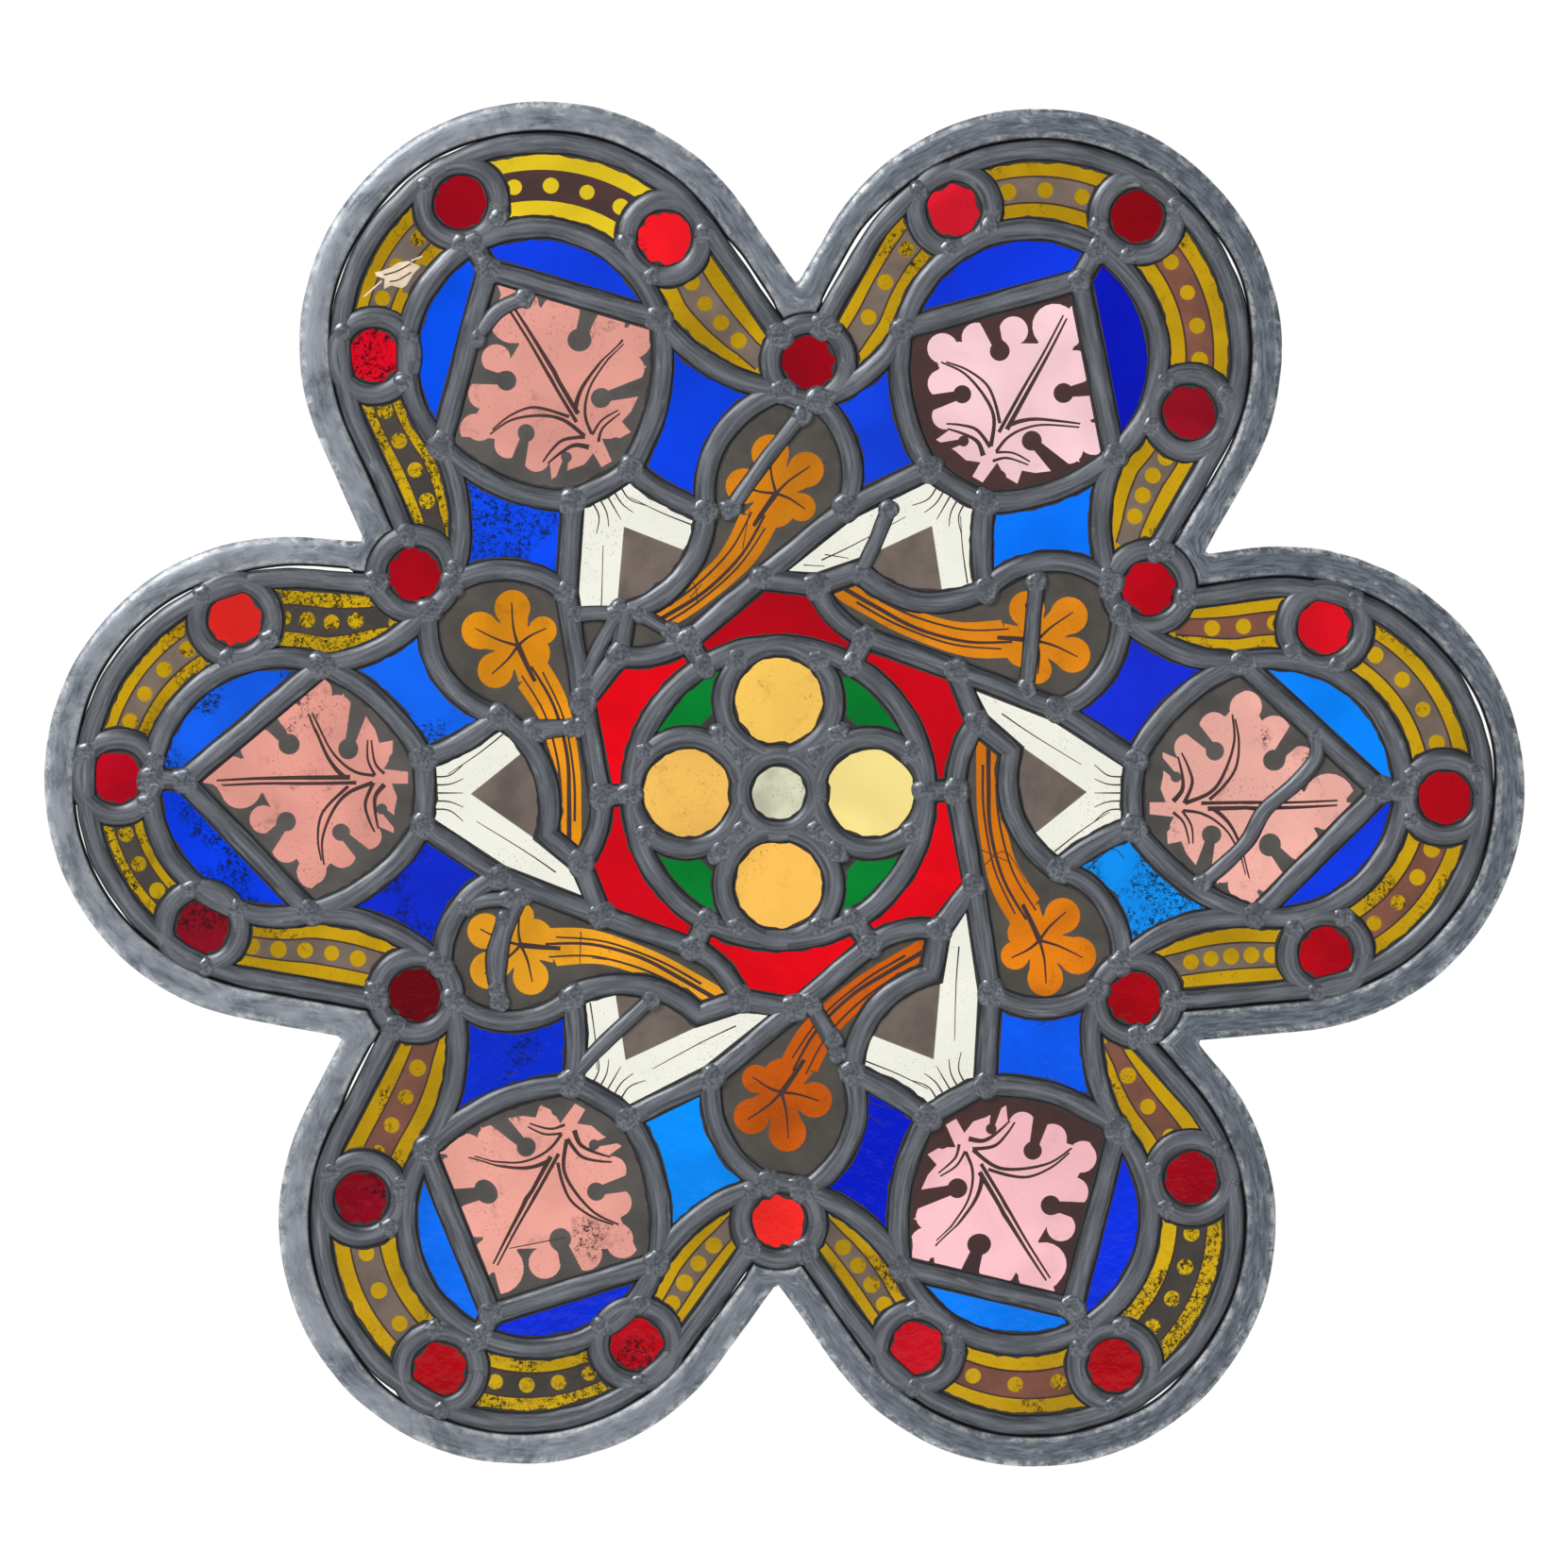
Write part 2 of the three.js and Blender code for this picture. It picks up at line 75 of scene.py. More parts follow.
PX = 0.388  # one photo pixel, in millimetres
PHOTO_SIZE = 1661
PHOTO_MIDDLE = (825, 840)  # the middle of the window in the photo

# Lead section
CAME = 9.0
HEART = 1.6
BACK_Y = 3.0
GLASS = 3.0
TUCK = 1.1  # from a lead line to the edge of the glass in it
BLUNT = 6.0
EDGE_FRONT_Y = -4.4
CROWN_Y = -3.7
SOLDER_Y = -4.36
SOLDER_FOOT_Y = -2.2  # where a lump of solder meets the came
SOLDER_BEHIND = 0.9  # how much lower a lump stands on the back
EDGE_SIDE_Y = -1.6
EDGE_BACK_Y = 3.5

# Plan
ROUNDEL = 15.9
FOIL = 22.9
FOIL_AT = 37.7
GREEN_AT = 37.0
RING = 60.5
RIM_OUT = 100.9
RIM_SEEN = 100.1  # the rim as it is, a little worn
RIM_IN = 86.9
EDGE_WIDTH = RIM_OUT - RIM_IN
BORDER = 82.8
LOBE_RING = 53.2
JEWEL_RING = 15.8
CUSP_LEAD = 19.6
STEP = 2.6  # length of a facet of a curved side
STRAIGHT_ON = 0.97  # sides whose headings have a larger product than this run on without a corner

JOINT = {
    "ring_link": 60.5 + 0.6j,
    "scroll_side": 72.9 + 1.2j,
    "scroll_tip": 81.5 + 28.7j,
    "red_corner": 72.9 + 50.4j,
    "strap_elbow": 95.4 + 17.1j,
    "strap_foot": 114.8 - 31.8j,
    "strap_head": 114.8 + 34.5j,
    "leaf_upper": 146.3 + 13.2j,
    "leaf_lower": 145.9 - 14.0j,
}

# Each lobe: middle of its rim, middle of its ring, outer corner of the leaf, where the leaf's leads
# end on the ring, its jewels (angle and distance from the rim's middle), and the jewel and the
# notch after it (distance and angle from the middle of the window)
LOBES = {
    "right": (206.4 + 1.6j, 203.3 + 1.9j, 247.2 + 0.8j, (104, -98),
              ((75, 68.7), (-3, 67.2), (-75, 69.8)), (173.8, 29), (202.2, 29.4)),
    "upper_right": (210.3 - 1.9j, 206.0 + 0j, 244.1 - 1.6j, (107, -109),
                    ((61, 67.9), (-6, 68.7), (-82, 66.7)), (177.3, 26), (210.6, 28.0)),
    "upper_left": (208.0 - 8.1j, 204.9 - 3.1j, 246.0 - 3.9j, (103, -103),
                   ((64, 69.5), (0, 67.2), (-79, 66.4)), (174.6, 29), (200.8, 28.7)),
    "left": (201.8 - 5.4j, 204.9 - 2.3j, 244.1 - 5.0j, (104, -109),
             ((60, 69.8), (-1, 69.8), (-72, 69.4)), (170.7, 29), (206.8, 29.2)),
    "lower_left": (204.9 - 3.5j, 201.4 + 0.8j, 244.4 + 4.6j, (100, -92),
                   ((73, 69.0), (1, 69.6), (-68, 66.4)), (175.8, 30), (203.0, 29.8)),
    "lower_right": (205.3 + 1.9j, 199.8 - 0.8j, 243.2 - 1.6j, (101, -96),
                    ((76, 67.9), (0, 67.2), (-73, 69.8)), (168.8, 30), (201.4, 29.4)),
}


# Plan geometry

def polar(radius, degrees):
    return cmath.rect(radius, math.radians(degrees))


def unit(v):
    return v / abs(v)


def dot(a, b):
    return (a.conjugate() * b).real


@dataclass
class Side:
    """A side from a to b: straight, or an arc that turns left (1) or right (-1) about centre."""

    a: complex
    b: complex
    turn: int = 0
    centre: complex = 0
    radius: float = 0
    near: complex = None

    def heading(self, p):
        if not self.turn:
            return unit(self.b - self.a)
        return unit(p - self.centre) * 1j * self.turn

    def moved(self, d):
        if self.turn:
            return replace(self, radius=self.radius - self.turn * d)
        shift = 1j * self.heading(self.a) * d
        return replace(self, a=self.a + shift, b=self.b + shift)

    def back(self):
        return replace(self, a=self.b, b=self.a, turn=-self.turn)

    def up_to(self, near):
        return replace(self, near=near)


def lead(a, b, bulge=0):
    if not bulge:
        return Side(a, b)
    half = abs(b - a) / 2
    radius = half * (1 + bulge * bulge) / (2 * abs(bulge))
    away = bulge * half - math.copysign(radius, bulge)
    centre = (a + b) / 2 + 1j * unit(b - a) * away
    return Side(a, b, -int(math.copysign(1, bulge)), centre, radius)


def arc(centre, radius, turn, a=0, b=0):
    return Side(a, b, turn, centre, radius)


def crossings(p, q):
    if not p.turn and not q.turn:
        u = p.heading(p.a)
        n = 1j * q.heading(q.a)
        return [p.a + u * dot(q.a - p.a, n) / dot(u, n)]
    if not p.turn:
        u = p.heading(p.a)
        foot = p.a + u * dot(q.centre - p.a, u)
        reach = math.sqrt(max(0, q.radius**2 - abs(foot - q.centre) ** 2))
        return [foot + u * reach, foot - u * reach]
    if not q.turn:
        return crossings(q, p)
    apart = abs(q.centre - p.centre)
    u = unit(q.centre - p.centre)
    along = (apart**2 + p.radius**2 - q.radius**2) / (2 * apart)
    reach = math.sqrt(max(0, p.radius**2 - along**2))
    foot = p.centre + u * along
    return [foot + 1j * u * reach, foot - 1j * u * reach]


def corner(side, after, d):
    if side.near is None:
        u = side.heading(side.b)
        v = after.heading(after.a)
        if dot(u, v) > STRAIGHT_ON:
            return side.b + 1j * unit(u + v) * d
    hint = side.b if side.near is None else side.near
    return min(crossings(side.moved(d), after.moved(d)), key=lambda p: abs(p - hint))


def sweep_points(side, start, end):
    """Points along a side from start up to, and without, end."""
    if not side.turn:
        return [start]
    first = cmath.phase(start - side.centre)
    swept = (cmath.phase(end - side.centre) - first) * side.turn % math.tau
    steps = max(2, round(swept * side.radius / STEP))
    return [side.centre + cmath.rect(side.radius, first + side.turn * swept * i / steps)
            for i in range(steps)]


def circle(centre, radius, sides=48):
    return [centre + polar(radius, 360 * i / sides) for i in range(sides)]


def outline(sides, d):
    """The outline d inside a closed run of sides, with its sharp corners nipped off."""
    if len(sides) == 1:
        return circle(sides[0].centre, sides[0].radius - d)
    sight = CAME / 2
    corners = []
    for side, after in zip(sides, sides[1:] + sides[:1]):
        ideal = corner(side, after, d)
        seen = corner(side, after, sight)
        reach = abs(ideal - seen)
        limit = BLUNT * abs(sight - d) / (sight - HEART / 2)
        corners.append(seen + (ideal - seen) * limit / reach if reach > limit else ideal)
    points = []
    for i, side in enumerate(sides):
        points += sweep_points(side.moved(d), corners[i - 1], corners[i])
    return points


def path_of(*sides):
    """An open path along sides that follow each other."""
    points = []
    for side in sides:
        if side.turn:
            points += sweep_points(side, side.a, side.b)
        else:
            steps = max(1, round(abs(side.b - side.a) / STEP))
            points += [side.a + (side.b - side.a) * i / steps for i in range(steps)]
    return points + [sides[-1].b]


def even(points, count):
    """A path cut anew into a number of equal steps."""
    total = [0]
    for a, b in zip(points, points[1:]):
        total.append(total[-1] + abs(b - a))
    run = []
    i = 0
    for n in range(count):
        want = total[-1] * n / count
        while total[i + 1] < want:
            i += 1
        share = (want - total[i]) / (total[i + 1] - total[i])
        run.append(points[i] + (points[i + 1] - points[i]) * share)
    return run


def smooth(points, parts=6):
    """A smooth run through a few points."""
    ends = [points[0], *points, points[-1]]
    run = []
    for p, q, r, s in zip(ends, ends[1:], ends[2:], ends[3:]):
        for j in range(parts):
            t = j / parts
            run.append(0.5 * (2 * q + (r - p) * t + (2 * p - 5 * q + 4 * r - s) * t * t
                              + (3 * q - p - 3 * r + s) * t**3))
    return run + [points[-1]]


# Lead plan

def sector(k, name, rim, ring, tip, ends, jewels, cusp, notch):
    turn = polar(1, 60 * k)
    ring = ring * turn
    rim = rim * turn
    tip = tip * turn
    cusp_angle = 60 * k + cusp[1]
    cusp_at = polar(cusp[0], cusp_angle)
    return SimpleNamespace(
        name=name,
        turn=turn,
        joint={key: p * turn for key, p in JOINT.items()},
        rim=rim,
        ring=ring,
        tip=tip,
        leaf_left=ring + polar(LOBE_RING, 60 * k + ends[0]),
        leaf_right=ring + polar(LOBE_RING, 60 * k + ends[1]),
        tip_on_ring=ring + unit(tip - ring) * LOBE_RING,
        jewels=[rim + polar(r, 60 * k + angle) for angle, r in jewels],
        cusp=cusp_at,
        notch=polar(notch[0], 60 * k + notch[1]),
        tail_end=cusp_at + polar(JEWEL_RING, cusp_angle + 195),
        next_tail_end=cusp_at + polar(JEWEL_RING, cusp_angle + 142),
    )


SECTORS = [sector(k, name, *values) for k, (name, values) in enumerate(LOBES.items())]


def edge(k, r):
    """A lobe's edge, r from the middle of its rim: a straight run, the arc, and a straight run."""
    s = SECTORS[k]
    before = SECTORS[k - 1].notch

    def touch(at, way):
        apart = at - s.rim
        return cmath.rect(1, cmath.phase(apart) - way * math.acos(RIM_OUT / abs(apart)))

    first = touch(before, -1)
    last = touch(s.notch, 1)
    inward = RIM_OUT - r
    return [
        lead(before - first * inward, s.rim + first * r),
        arc(s.rim, r, 1, s.rim + first * r, s.rim + last * r),
        lead(s.rim + last * r, s.notch - last * inward),
    ]


CELLS = {}  # pane name: its sides
PATHS = []  # the middle lines of the cames
BORDERS = []  # those of the border cames inside the edge came
LOOPS = []  # those that close on themselves
BAND = []  # gold panes: sector, place, sides
RUNS = []  # the beaded band of each lobe as one run

CELLS["centre_roundel"] = [arc(0, ROUNDEL, 1)]
LOOPS.append(circle(0, ROUNDEL, 40))
LOOPS.append(circle(0, RING, 150))
for i, place in enumerate(("right", "top", "left", "bottom")):
    at = polar(FOIL_AT, 90 * i)
    bite = crossings(arc(0, ROUNDEL, 1), arc(at, FOIL, 1))
    foil = arc(at, FOIL, 1, bite[1], bite[0])
    CELLS["centre_amber_" + place] = [foil, arc(0, ROUNDEL, -1, bite[0], bite[1])]
    PATHS.append(path_of(foil))
for i, place in enumerate(("upper_right", "upper_left", "lower_left", "lower_right")):
    one = polar(FOIL_AT, 90 * i)
    other = polar(FOIL_AT, 90 * (i + 1))
    flat = polar(GREEN_AT, 90 * i + 45)
    across = polar(5, 90 * i - 45)
    middle = polar((GREEN_AT + RING) / 2, 90 * i + 45)
    PATHS.append([polar(r, 90 * i + 45) for r in (20, 24, 28, 32, GREEN_AT - 1.2)])
    CELLS["centre_green_" + place] = [
        arc(one, FOIL, -1, flat + across, one).up_to(middle),
        arc(0, RING, 1, one, other).up_to(middle),
        arc(other, FOIL, -1, other, flat - across).up_to(middle),
        lead(flat - across, flat + across),
    ]

RED_PLACES = ("right_upper", "top", "left_upper", "left_lower", "bottom", "right_lower")
for k, s in enumerate(SECTORS):
    after = SECTORS[(k + 1) % 6]
    prev = SECTORS[k - 1]
    j = s.joint
    link = lead(j["ring_link"], j["scroll_side"])
    scroll_inner = lead(j["scroll_side"], j["scroll_tip"], 0.2)
    tip_to_corner = lead(j["scroll_tip"], j["red_corner"])
    corner_to_next = lead(j["red_corner"], after.joint["scroll_side"])
    corner_to_head = lead(j["red_corner"], j["strap_head"])
    elbow = lead(j["scroll_tip"], j["strap_elbow"])
    scroll_outer = lead(j["strap_elbow"], j["strap_foot"], -0.33)
    head_outer = lead(prev.next_tail_end, j["strap_foot"], -0.38)
    head_inner = lead(prev.joint["strap_head"], prev.tail_end, -0.33)
    next_head_inner = lead(j["strap_head"], s.tail_end, -0.33)
    strap_lower = lead(j["strap_foot"], j["leaf_lower"], 0.1)
    strap_upper = lead(j["leaf_upper"], j["strap_head"])
    leaf_base = lead(j["leaf_lower"], j["leaf_upper"], 0.06)
    leaf_side_left = lead(j["leaf_upper"], s.leaf_left, 0.2)
    leaf_side_right = lead(s.leaf_right, j["leaf_lower"], 0.18)
    ring_left = arc(s.ring, LOBE_RING, 1, s.tip_on_ring, s.leaf_left)
    ring_right = arc(s.ring, LOBE_RING, 1, s.leaf_right, s.tip_on_ring)
    tail_left = lead(s.leaf_left, s.tail_end, 0.2)
    tail_right = lead(prev.next_tail_end, s.leaf_right, 0.2)
    to_tip = lead(s.leaf_right, s.tip)
    from_tip = lead(s.tip, s.leaf_left)
    tip_link = lead(s.tip, s.tip_on_ring)
    run_in, rim_arc, run_out = edge(k, BORDER)
    lobe = s.name + "_lobe_"

    CELLS["red_" + RED_PLACES[k]] = [
        link, scroll_inner, tip_to_corner, corner_to_next,
        lead(after.joint["scroll_side"], after.joint["ring_link"]),
        arc(0, RING, -1, after.joint["ring_link"], j["ring_link"]),
    ]
    CELLS[lobe + "scroll"] = [
        scroll_inner.back(), lead(j["scroll_side"], prev.joint["red_corner"]),
        lead(prev.joint["red_corner"], prev.joint["strap_head"]), head_inner,
        arc(prev.cusp, JEWEL_RING, -1, prev.tail_end, prev.next_tail_end),
        head_outer, scroll_outer.back(), elbow.back(),
    ]
    CELLS[lobe + "strap"] = [
        tip_to_corner.back(), elbow, scroll_outer, strap_lower, leaf_base, strap_upper,
        lead(j["strap_head"], j["red_corner"]),
    ]
    CELLS[lobe + "leaf"] = [
        leaf_side_left.back(), leaf_base.back(), leaf_side_right.back(), to_tip, from_tip,
    ]
    CELLS[lobe + "blue_inner_left"] = [
        strap_upper.back(), leaf_side_left, tail_left, next_head_inner.back(),
    ]
    CELLS[lobe + "blue_inner_right"] = [
        head_outer.back(), tail_right, leaf_side_right, strap_lower.back(),
    ]
    CELLS[lobe + "blue_outer_left"] = [from_tip.back(), tip_link, ring_left]
    CELLS[lobe + "blue_outer_right"] = [ring_right, tip_link.back(), to_tip.back()]

    PATHS += [path_of(side) for side in (
        link, tip_to_corner, corner_to_next, corner_to_head, head_outer, next_head_inner,
        strap_lower, strap_upper, leaf_side_left, leaf_base, leaf_side_right, to_tip, from_tip,
        tip_link, tail_left, tail_right,
    )]
    PATHS.append(path_of(scroll_inner))
    PATHS.append(path_of(elbow, scroll_outer))
    PATHS.append(path_of(ring_right, ring_left))
    LOOPS += [circle(at, JEWEL_RING, 40) for at in (*s.jewels, s.cusp)]

    # The border came ends on the rings of the jewels at the two cusps
    start = max(crossings(run_in, arc(prev.cusp, JEWEL_RING, 1)), key=abs)
    end = max(crossings(run_out, arc(s.cusp, JEWEL_RING, 1)), key=abs)
    BORDERS.append(path_of(lead(start, run_in.b), rim_arc, lead(run_out.a, end)))

    entry = run_in.a + run_in.heading(0) * dot(prev.cusp - run_in.a, run_in.heading(0))
    leave = run_out.a + run_out.heading(0) * dot(s.cusp - run_out.a, run_out.heading(0))
    RUNS.append([
        lead(entry, run_in.b), rim_arc, lead(run_out.a, leave), lead(leave, s.tail_end),
        tail_left.back(), ring_left.back(), ring_right.back(), tail_right.back(),
        lead(prev.next_tail_end, entry),
    ])

    inner = arc(s.ring, LOBE_RING, -1, s.leaf_left, s.leaf_right)
    left_jewel, top_jewel, right_jewel = s.jewels

    def around(at):
        return arc(at, JEWEL_RING, -1, at, at)

    near_left = (left_jewel + s.cusp) / 2
    near_right = (right_jewel + prev.cusp) / 2
    BAND.append((k, 0, [
        run_in.up_to(near_right), around(right_jewel).up_to(near_right), inner,
        tail_right.back().up_to(near_right), around(prev.cusp).up_to(near_right),
    ]))
    for place, one, other in ((1, right_jewel, top_jewel), (2, top_jewel, left_jewel)):
        near = (one + other) / 2
        BAND.append((k, place, [
            rim_arc.up_to(near), around(other).up_to(near), inner.up_to(near), around(one).up_to(near),
        ]))
    BAND.append((k, 3, [
        run_out.up_to(near_left), around(s.cusp).up_to(near_left), tail_left.back(),
        inner.up_to(near_left), around(left_jewel).up_to(near_left),
    ]))


# Mesh helpers

def world(p, y):
    return (p.real * MM, (y + PLANE_Y) * MM, (p.imag + MIDDLE_Z) * MM)


def mesh_object(name, verts, faces, materials):
    mesh = bpy.data.meshes.new(name)
    mesh.from_pydata(verts, [], faces)
    for material in materials:
        mesh.materials.append(material)
    mesh.update()
    obj = bpy.data.objects.new(name, mesh)
    bpy.context.collection.objects.link(obj)
    return obj


def declare(obj, node=None):
    """Hangs a piece, fixed, on the root body, and hides the solid of the model that it stands for."""
    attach(obj, "root")
    if node:
        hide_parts(node)


def glass_piece(name, verts, faces, materials, which, node):
    obj = mesh_object(name, verts, faces, materials)
    obj.data.polygons.foreach_set("material_index", which)
    declare(obj, node)


def wobble(p, scale, seed):
    """A smooth number between about -1 and 1 that depends on the place alone."""
    return noise.noise(Vector((p.real * scale, p.imag * scale, seed)))


# Half of the came's section from the crown round to the back: distance from the middle, depth
HALF_SECTION = (
    (0, CROWN_Y), (1.3, CROWN_Y + 0.1), (2.5, CROWN_Y + 0.45), (3.5, -2.8), (4.2, -2.15),
    (CAME / 2, -1.7), (HEART / 2, -1.5), (HEART / 2, 1.5), (4.2, 1.6), (3.6, 2.6), (2.0, BACK_Y),
)
SECTION = [*HALF_SECTION, *((-u, y) for u, y in reversed(HALF_SECTION[1:]))]
FRONT_FROM = -1.6  # depth that the uneven front of a came begins at
BACK_FROM = 1.6  # and its back
SHARP = math.radians(50)  # edges sharper than this keep the faces beside them flat


class Lead:
    """A growing mesh, with the place of each point across and along its came."""

    def __init__(self):
        self.verts = []
        self.faces = []
        self.flow = []

    def add(self, p, y, across, along):
        self.verts.append(world(p, y))
        self.flow.append((across * MM, along * MM))

    def sweep(self, path, closed, width, seed):
        """Adds a came along a path, a little uneven in line, width and height."""
        n = len(path)
        m = len(SECTION)
        base = len(self.verts)
        along = 200 * seed
        for i, p in enumerate(path):
            before = path[i - 1] if closed or i else p
            after = path[(i + 1) % n] if closed or i + 1 < n else p
            side = 1j * unit(after - before)
            along += abs(p - path[i - 1]) if i else 0
            drift = 0.45 * wobble(p, 0.06, seed)
            wide = width * (1 + 0.09 * wobble(p, 0.1, seed + 7))
            lift = 0.16 * wobble(p, 0.14, seed + 13)
            for u, y in SECTION:
                dent = 0.07 * wobble(p, 0.4, u + seed)
                depth = y
                if y < FRONT_FROM:
                    depth = max(y + lift + dent, EDGE_FRONT_Y)
                if y > BACK_FROM:
                    depth = y - 0.25 * (seed * 3.7 % 1) + 0.3 * lift
                self.add(p + side * (u * wide + drift), depth, u, along)
        for i in range(n if closed else n - 1):
            a = base + i * m
            b = base + (i + 1) % n * m
            for q in range(m):
                r = (q + 1) % m
                self.faces.append((a + q, a + r, b + r, b + q))
        if not closed:
            last = base + (n - 1) * m
            self.faces.append(tuple(base + q for q in reversed(range(m))))
            self.faces.append(tuple(last + q for q in range(m)))

    def build(self, name, material, node=None, sharp=True):
        """Makes the smooth mesh, flat only beside sharp edges, as a piece of the part."""
        obj = mesh_object(name, self.verts, self.faces, [material])
        mesh = obj.data
        mesh.polygons.foreach_set("use_smooth", [True] * len(mesh.polygons))
        layer = mesh.uv_layers.new(name=FLOW)
        layer.data.foreach_set("uv", [v for loop in mesh.loops for v in self.flow[loop.vertex_index]])
        if sharp:
            mesh.set_sharp_from_angle(angle=SHARP)
        declare(obj, node)

    def blob(self, at, ways, size, seed, top=SOLDER_Y, behind=False):
        """Adds a lump of solder that runs a little way out along the leads it joins."""
        def depth_of(y):
            return -y - SOLDER_BEHIND if behind else y

        turns, rings = 28, 7
        base = len(self.verts)
        self.add(at, depth_of(top), at.real, at.imag)
        for r in range(1, rings + 1):
            share = r / rings
            fall = 1 - math.sqrt(max(0, 1 - share**2))
            for i in range(turns):
                way = polar(1, 360 * i / turns)
                reach = size * (0.92 + 0.22 * wobble(way, 1, seed + at.real))
                reach += sum(0.22 * size * max(0, dot(way, w)) ** 5 for w in ways)
                p = at + way * reach * share
                ripple = 0.09 * wobble(p, 0.3, seed)
                depth = max(top + (SOLDER_FOOT_Y - top) * fall + ripple, EDGE_FRONT_Y)
                self.add(p, depth_of(depth), p.real, p.imag)
        flip = -1 if behind else 1
        for i in range(turns):
            j = (i + 1) % turns
            self.faces.append((base, base + 1 + j, base + 1 + i)[::flip])
            for r in range(rings - 1):
                a = base + 1 + r * turns
                self.faces.append((a + i, a + j, a + turns + j, a + turns + i)[::flip])


# Materials

def material(name, metallic, roughness, transmission=0.0, ior=1.5):
    m = bpy.data.materials.new(name)
    m.use_nodes = True
    shader = m.node_tree.nodes["Principled BSDF"]
    shader.inputs["Metallic"].default_value = metallic
    shader.inputs["Roughness"].default_value = roughness
    shader.inputs["Transmission Weight"].default_value = transmission
    shader.inputs["IOR"].default_value = ior
    return m, m.node_tree, shader


def add_node(tree, kind, inputs, **settings):
    """A new shader node whose inputs are numbers, colours or other nodes' outputs."""
    node = tree.nodes.new("ShaderNode" + kind)
    for key, value in settings.items():
        setattr(node, key, value)
    for key, value in inputs.items():
        if isinstance(value, tuple):
            node.inputs[key].default_value = (*value, 1)
        elif isinstance(value, (int, float)):
            node.inputs[key].default_value = value
        else:
            tree.links.new(value, node.inputs[key])
    return node


def flow_place(tree):
    """Where a point lies across and along its came."""
    return add_node(tree, "UVMap", {}, uv_map=FLOW).outputs["UV"]


def place_in(tree, space):
    return add_node(tree, "TexCoord", {}).outputs[space]


def part_of(tree, place, axis):
    return add_node(tree, "SeparateXYZ", {"Vector": place}).outputs[axis]


def noise_at(tree, scale, detail, rough, distortion=0.0, streak=0.0):
    """Noise, scale in features per metre: the object's own, or drawn out along the came."""
    if streak:
        mapping = add_node(tree, "Mapping", {"Vector": flow_place(tree)})
        mapping.inputs["Scale"].default_value = (1, streak, 1)
        where = mapping.outputs["Vector"]
    else:
        where = place_in(tree, "Object")
    grain = {"Scale": scale, "Detail": detail, "Roughness": rough, "Distortion": distortion}
    return add_node(tree, "TexNoise", {"Vector": where, **grain}).outputs["Fac"]


def band(tree, value, low, high):
    """0 below low, 1 above high, smooth between."""
    limits = {"From Min": low, "From Max": high}
    node = add_node(tree, "MapRange", {"Value": value, **limits}, interpolation_type="SMOOTHSTEP")
    return node.outputs["Result"]


def times(tree, product, *factors):
    """The product of masks, of which all but the first can be plain numbers."""
    for factor in factors:
        node = add_node(tree, "Math", {0: product, 1: factor}, operation="MULTIPLY")
        product = node.outputs[0]
    return product


def mix(tree, factor, a, b):
    """Colour a where the factor is 0 and b where it is 1, by the node's colour sockets."""
    return add_node(tree, "Mix", {0: factor, 6: a, 7: b}, data_type="RGBA").outputs[2]


def patches(tree, low, high, scale, detail, rough, distortion=0.0, streak=0.0):
    """1 in patches and 0 between them: the noise with its values from low to high drawn out."""
    return band(tree, noise_at(tree, scale, detail, rough, distortion, streak), low, high)


def laid(tree, tone, colour, *masks):
    """A tone with a colour over it where all masks are 1."""
    return mix(tree, times(tree, *masks), tone, colour)


def surface(tree, shader, tone, height, strength, distance):
    """Gives a shader its colour and its fine bumps."""
    tree.links.new(tone, shader.inputs["Base Color"])
    relief = {"Height": height, "Strength": strength, "Distance": distance}
    tree.links.new(add_node(tree, "Bump", relief).outputs["Normal"], shader.inputs["Normal"])


def rgb(*colour):
    """A colour as the photo shows it, 0 to 255, turned into light."""
    shares = (v / 255 for v in colour)
    return tuple(v / 12.92 if v <= 0.04045 else ((v + 0.055) / 1.055) ** 2.4 for v in shares)


def toned(colour, gain):
    return tuple(min(1.0, v * gain) for v in colour)


made = {}


def glass(name, colour, stain=0.0, specks=0.0, soot=0.0, depth=0.35):
    """Hand-made glass: uneven in colour, a little wavy, with dirt and fired specks."""
    if name in made:
        return made[name]
    m, tree, shader = material(name, 0.0, 0.1, 1.0, 1.35)
    pale = patches(tree, 0.3, 0.7, 22, 3, 0.5, 0.6)
    tone = mix(tree, pale, toned(colour, 1 - depth), toned(colour, 1 + depth * 0.3))
    grime = patches(tree, 0.56, 0.74, 75, 8, 0.7, 0.4)
    tone = laid(tree, tone, toned(colour, 0.12), grime, stain)
    spots = patches(tree, 0.64, 0.7, 900, 2, 0.5)
    where = patches(tree, 0.4, 0.62, 45, 5, 0.6)
    tone = laid(tree, tone, (0.015, 0.012, 0.01), spots, where, specks)
    if soot:
        chips = patches(tree, 0.52, 0.57, 520, 7, 0.75)
        where = patches(tree, 0.7 - 0.28 * soot, 0.78 - 0.28 * soot, 34, 3, 0.55)
        tone = laid(tree, tone, (0.008, 0.007, 0.007), chips, where)
    surface(tree, shader, tone, noise_at(tree, 160, 3, 0.5), 0.25, 0.0012)
    made[name] = m
    return m


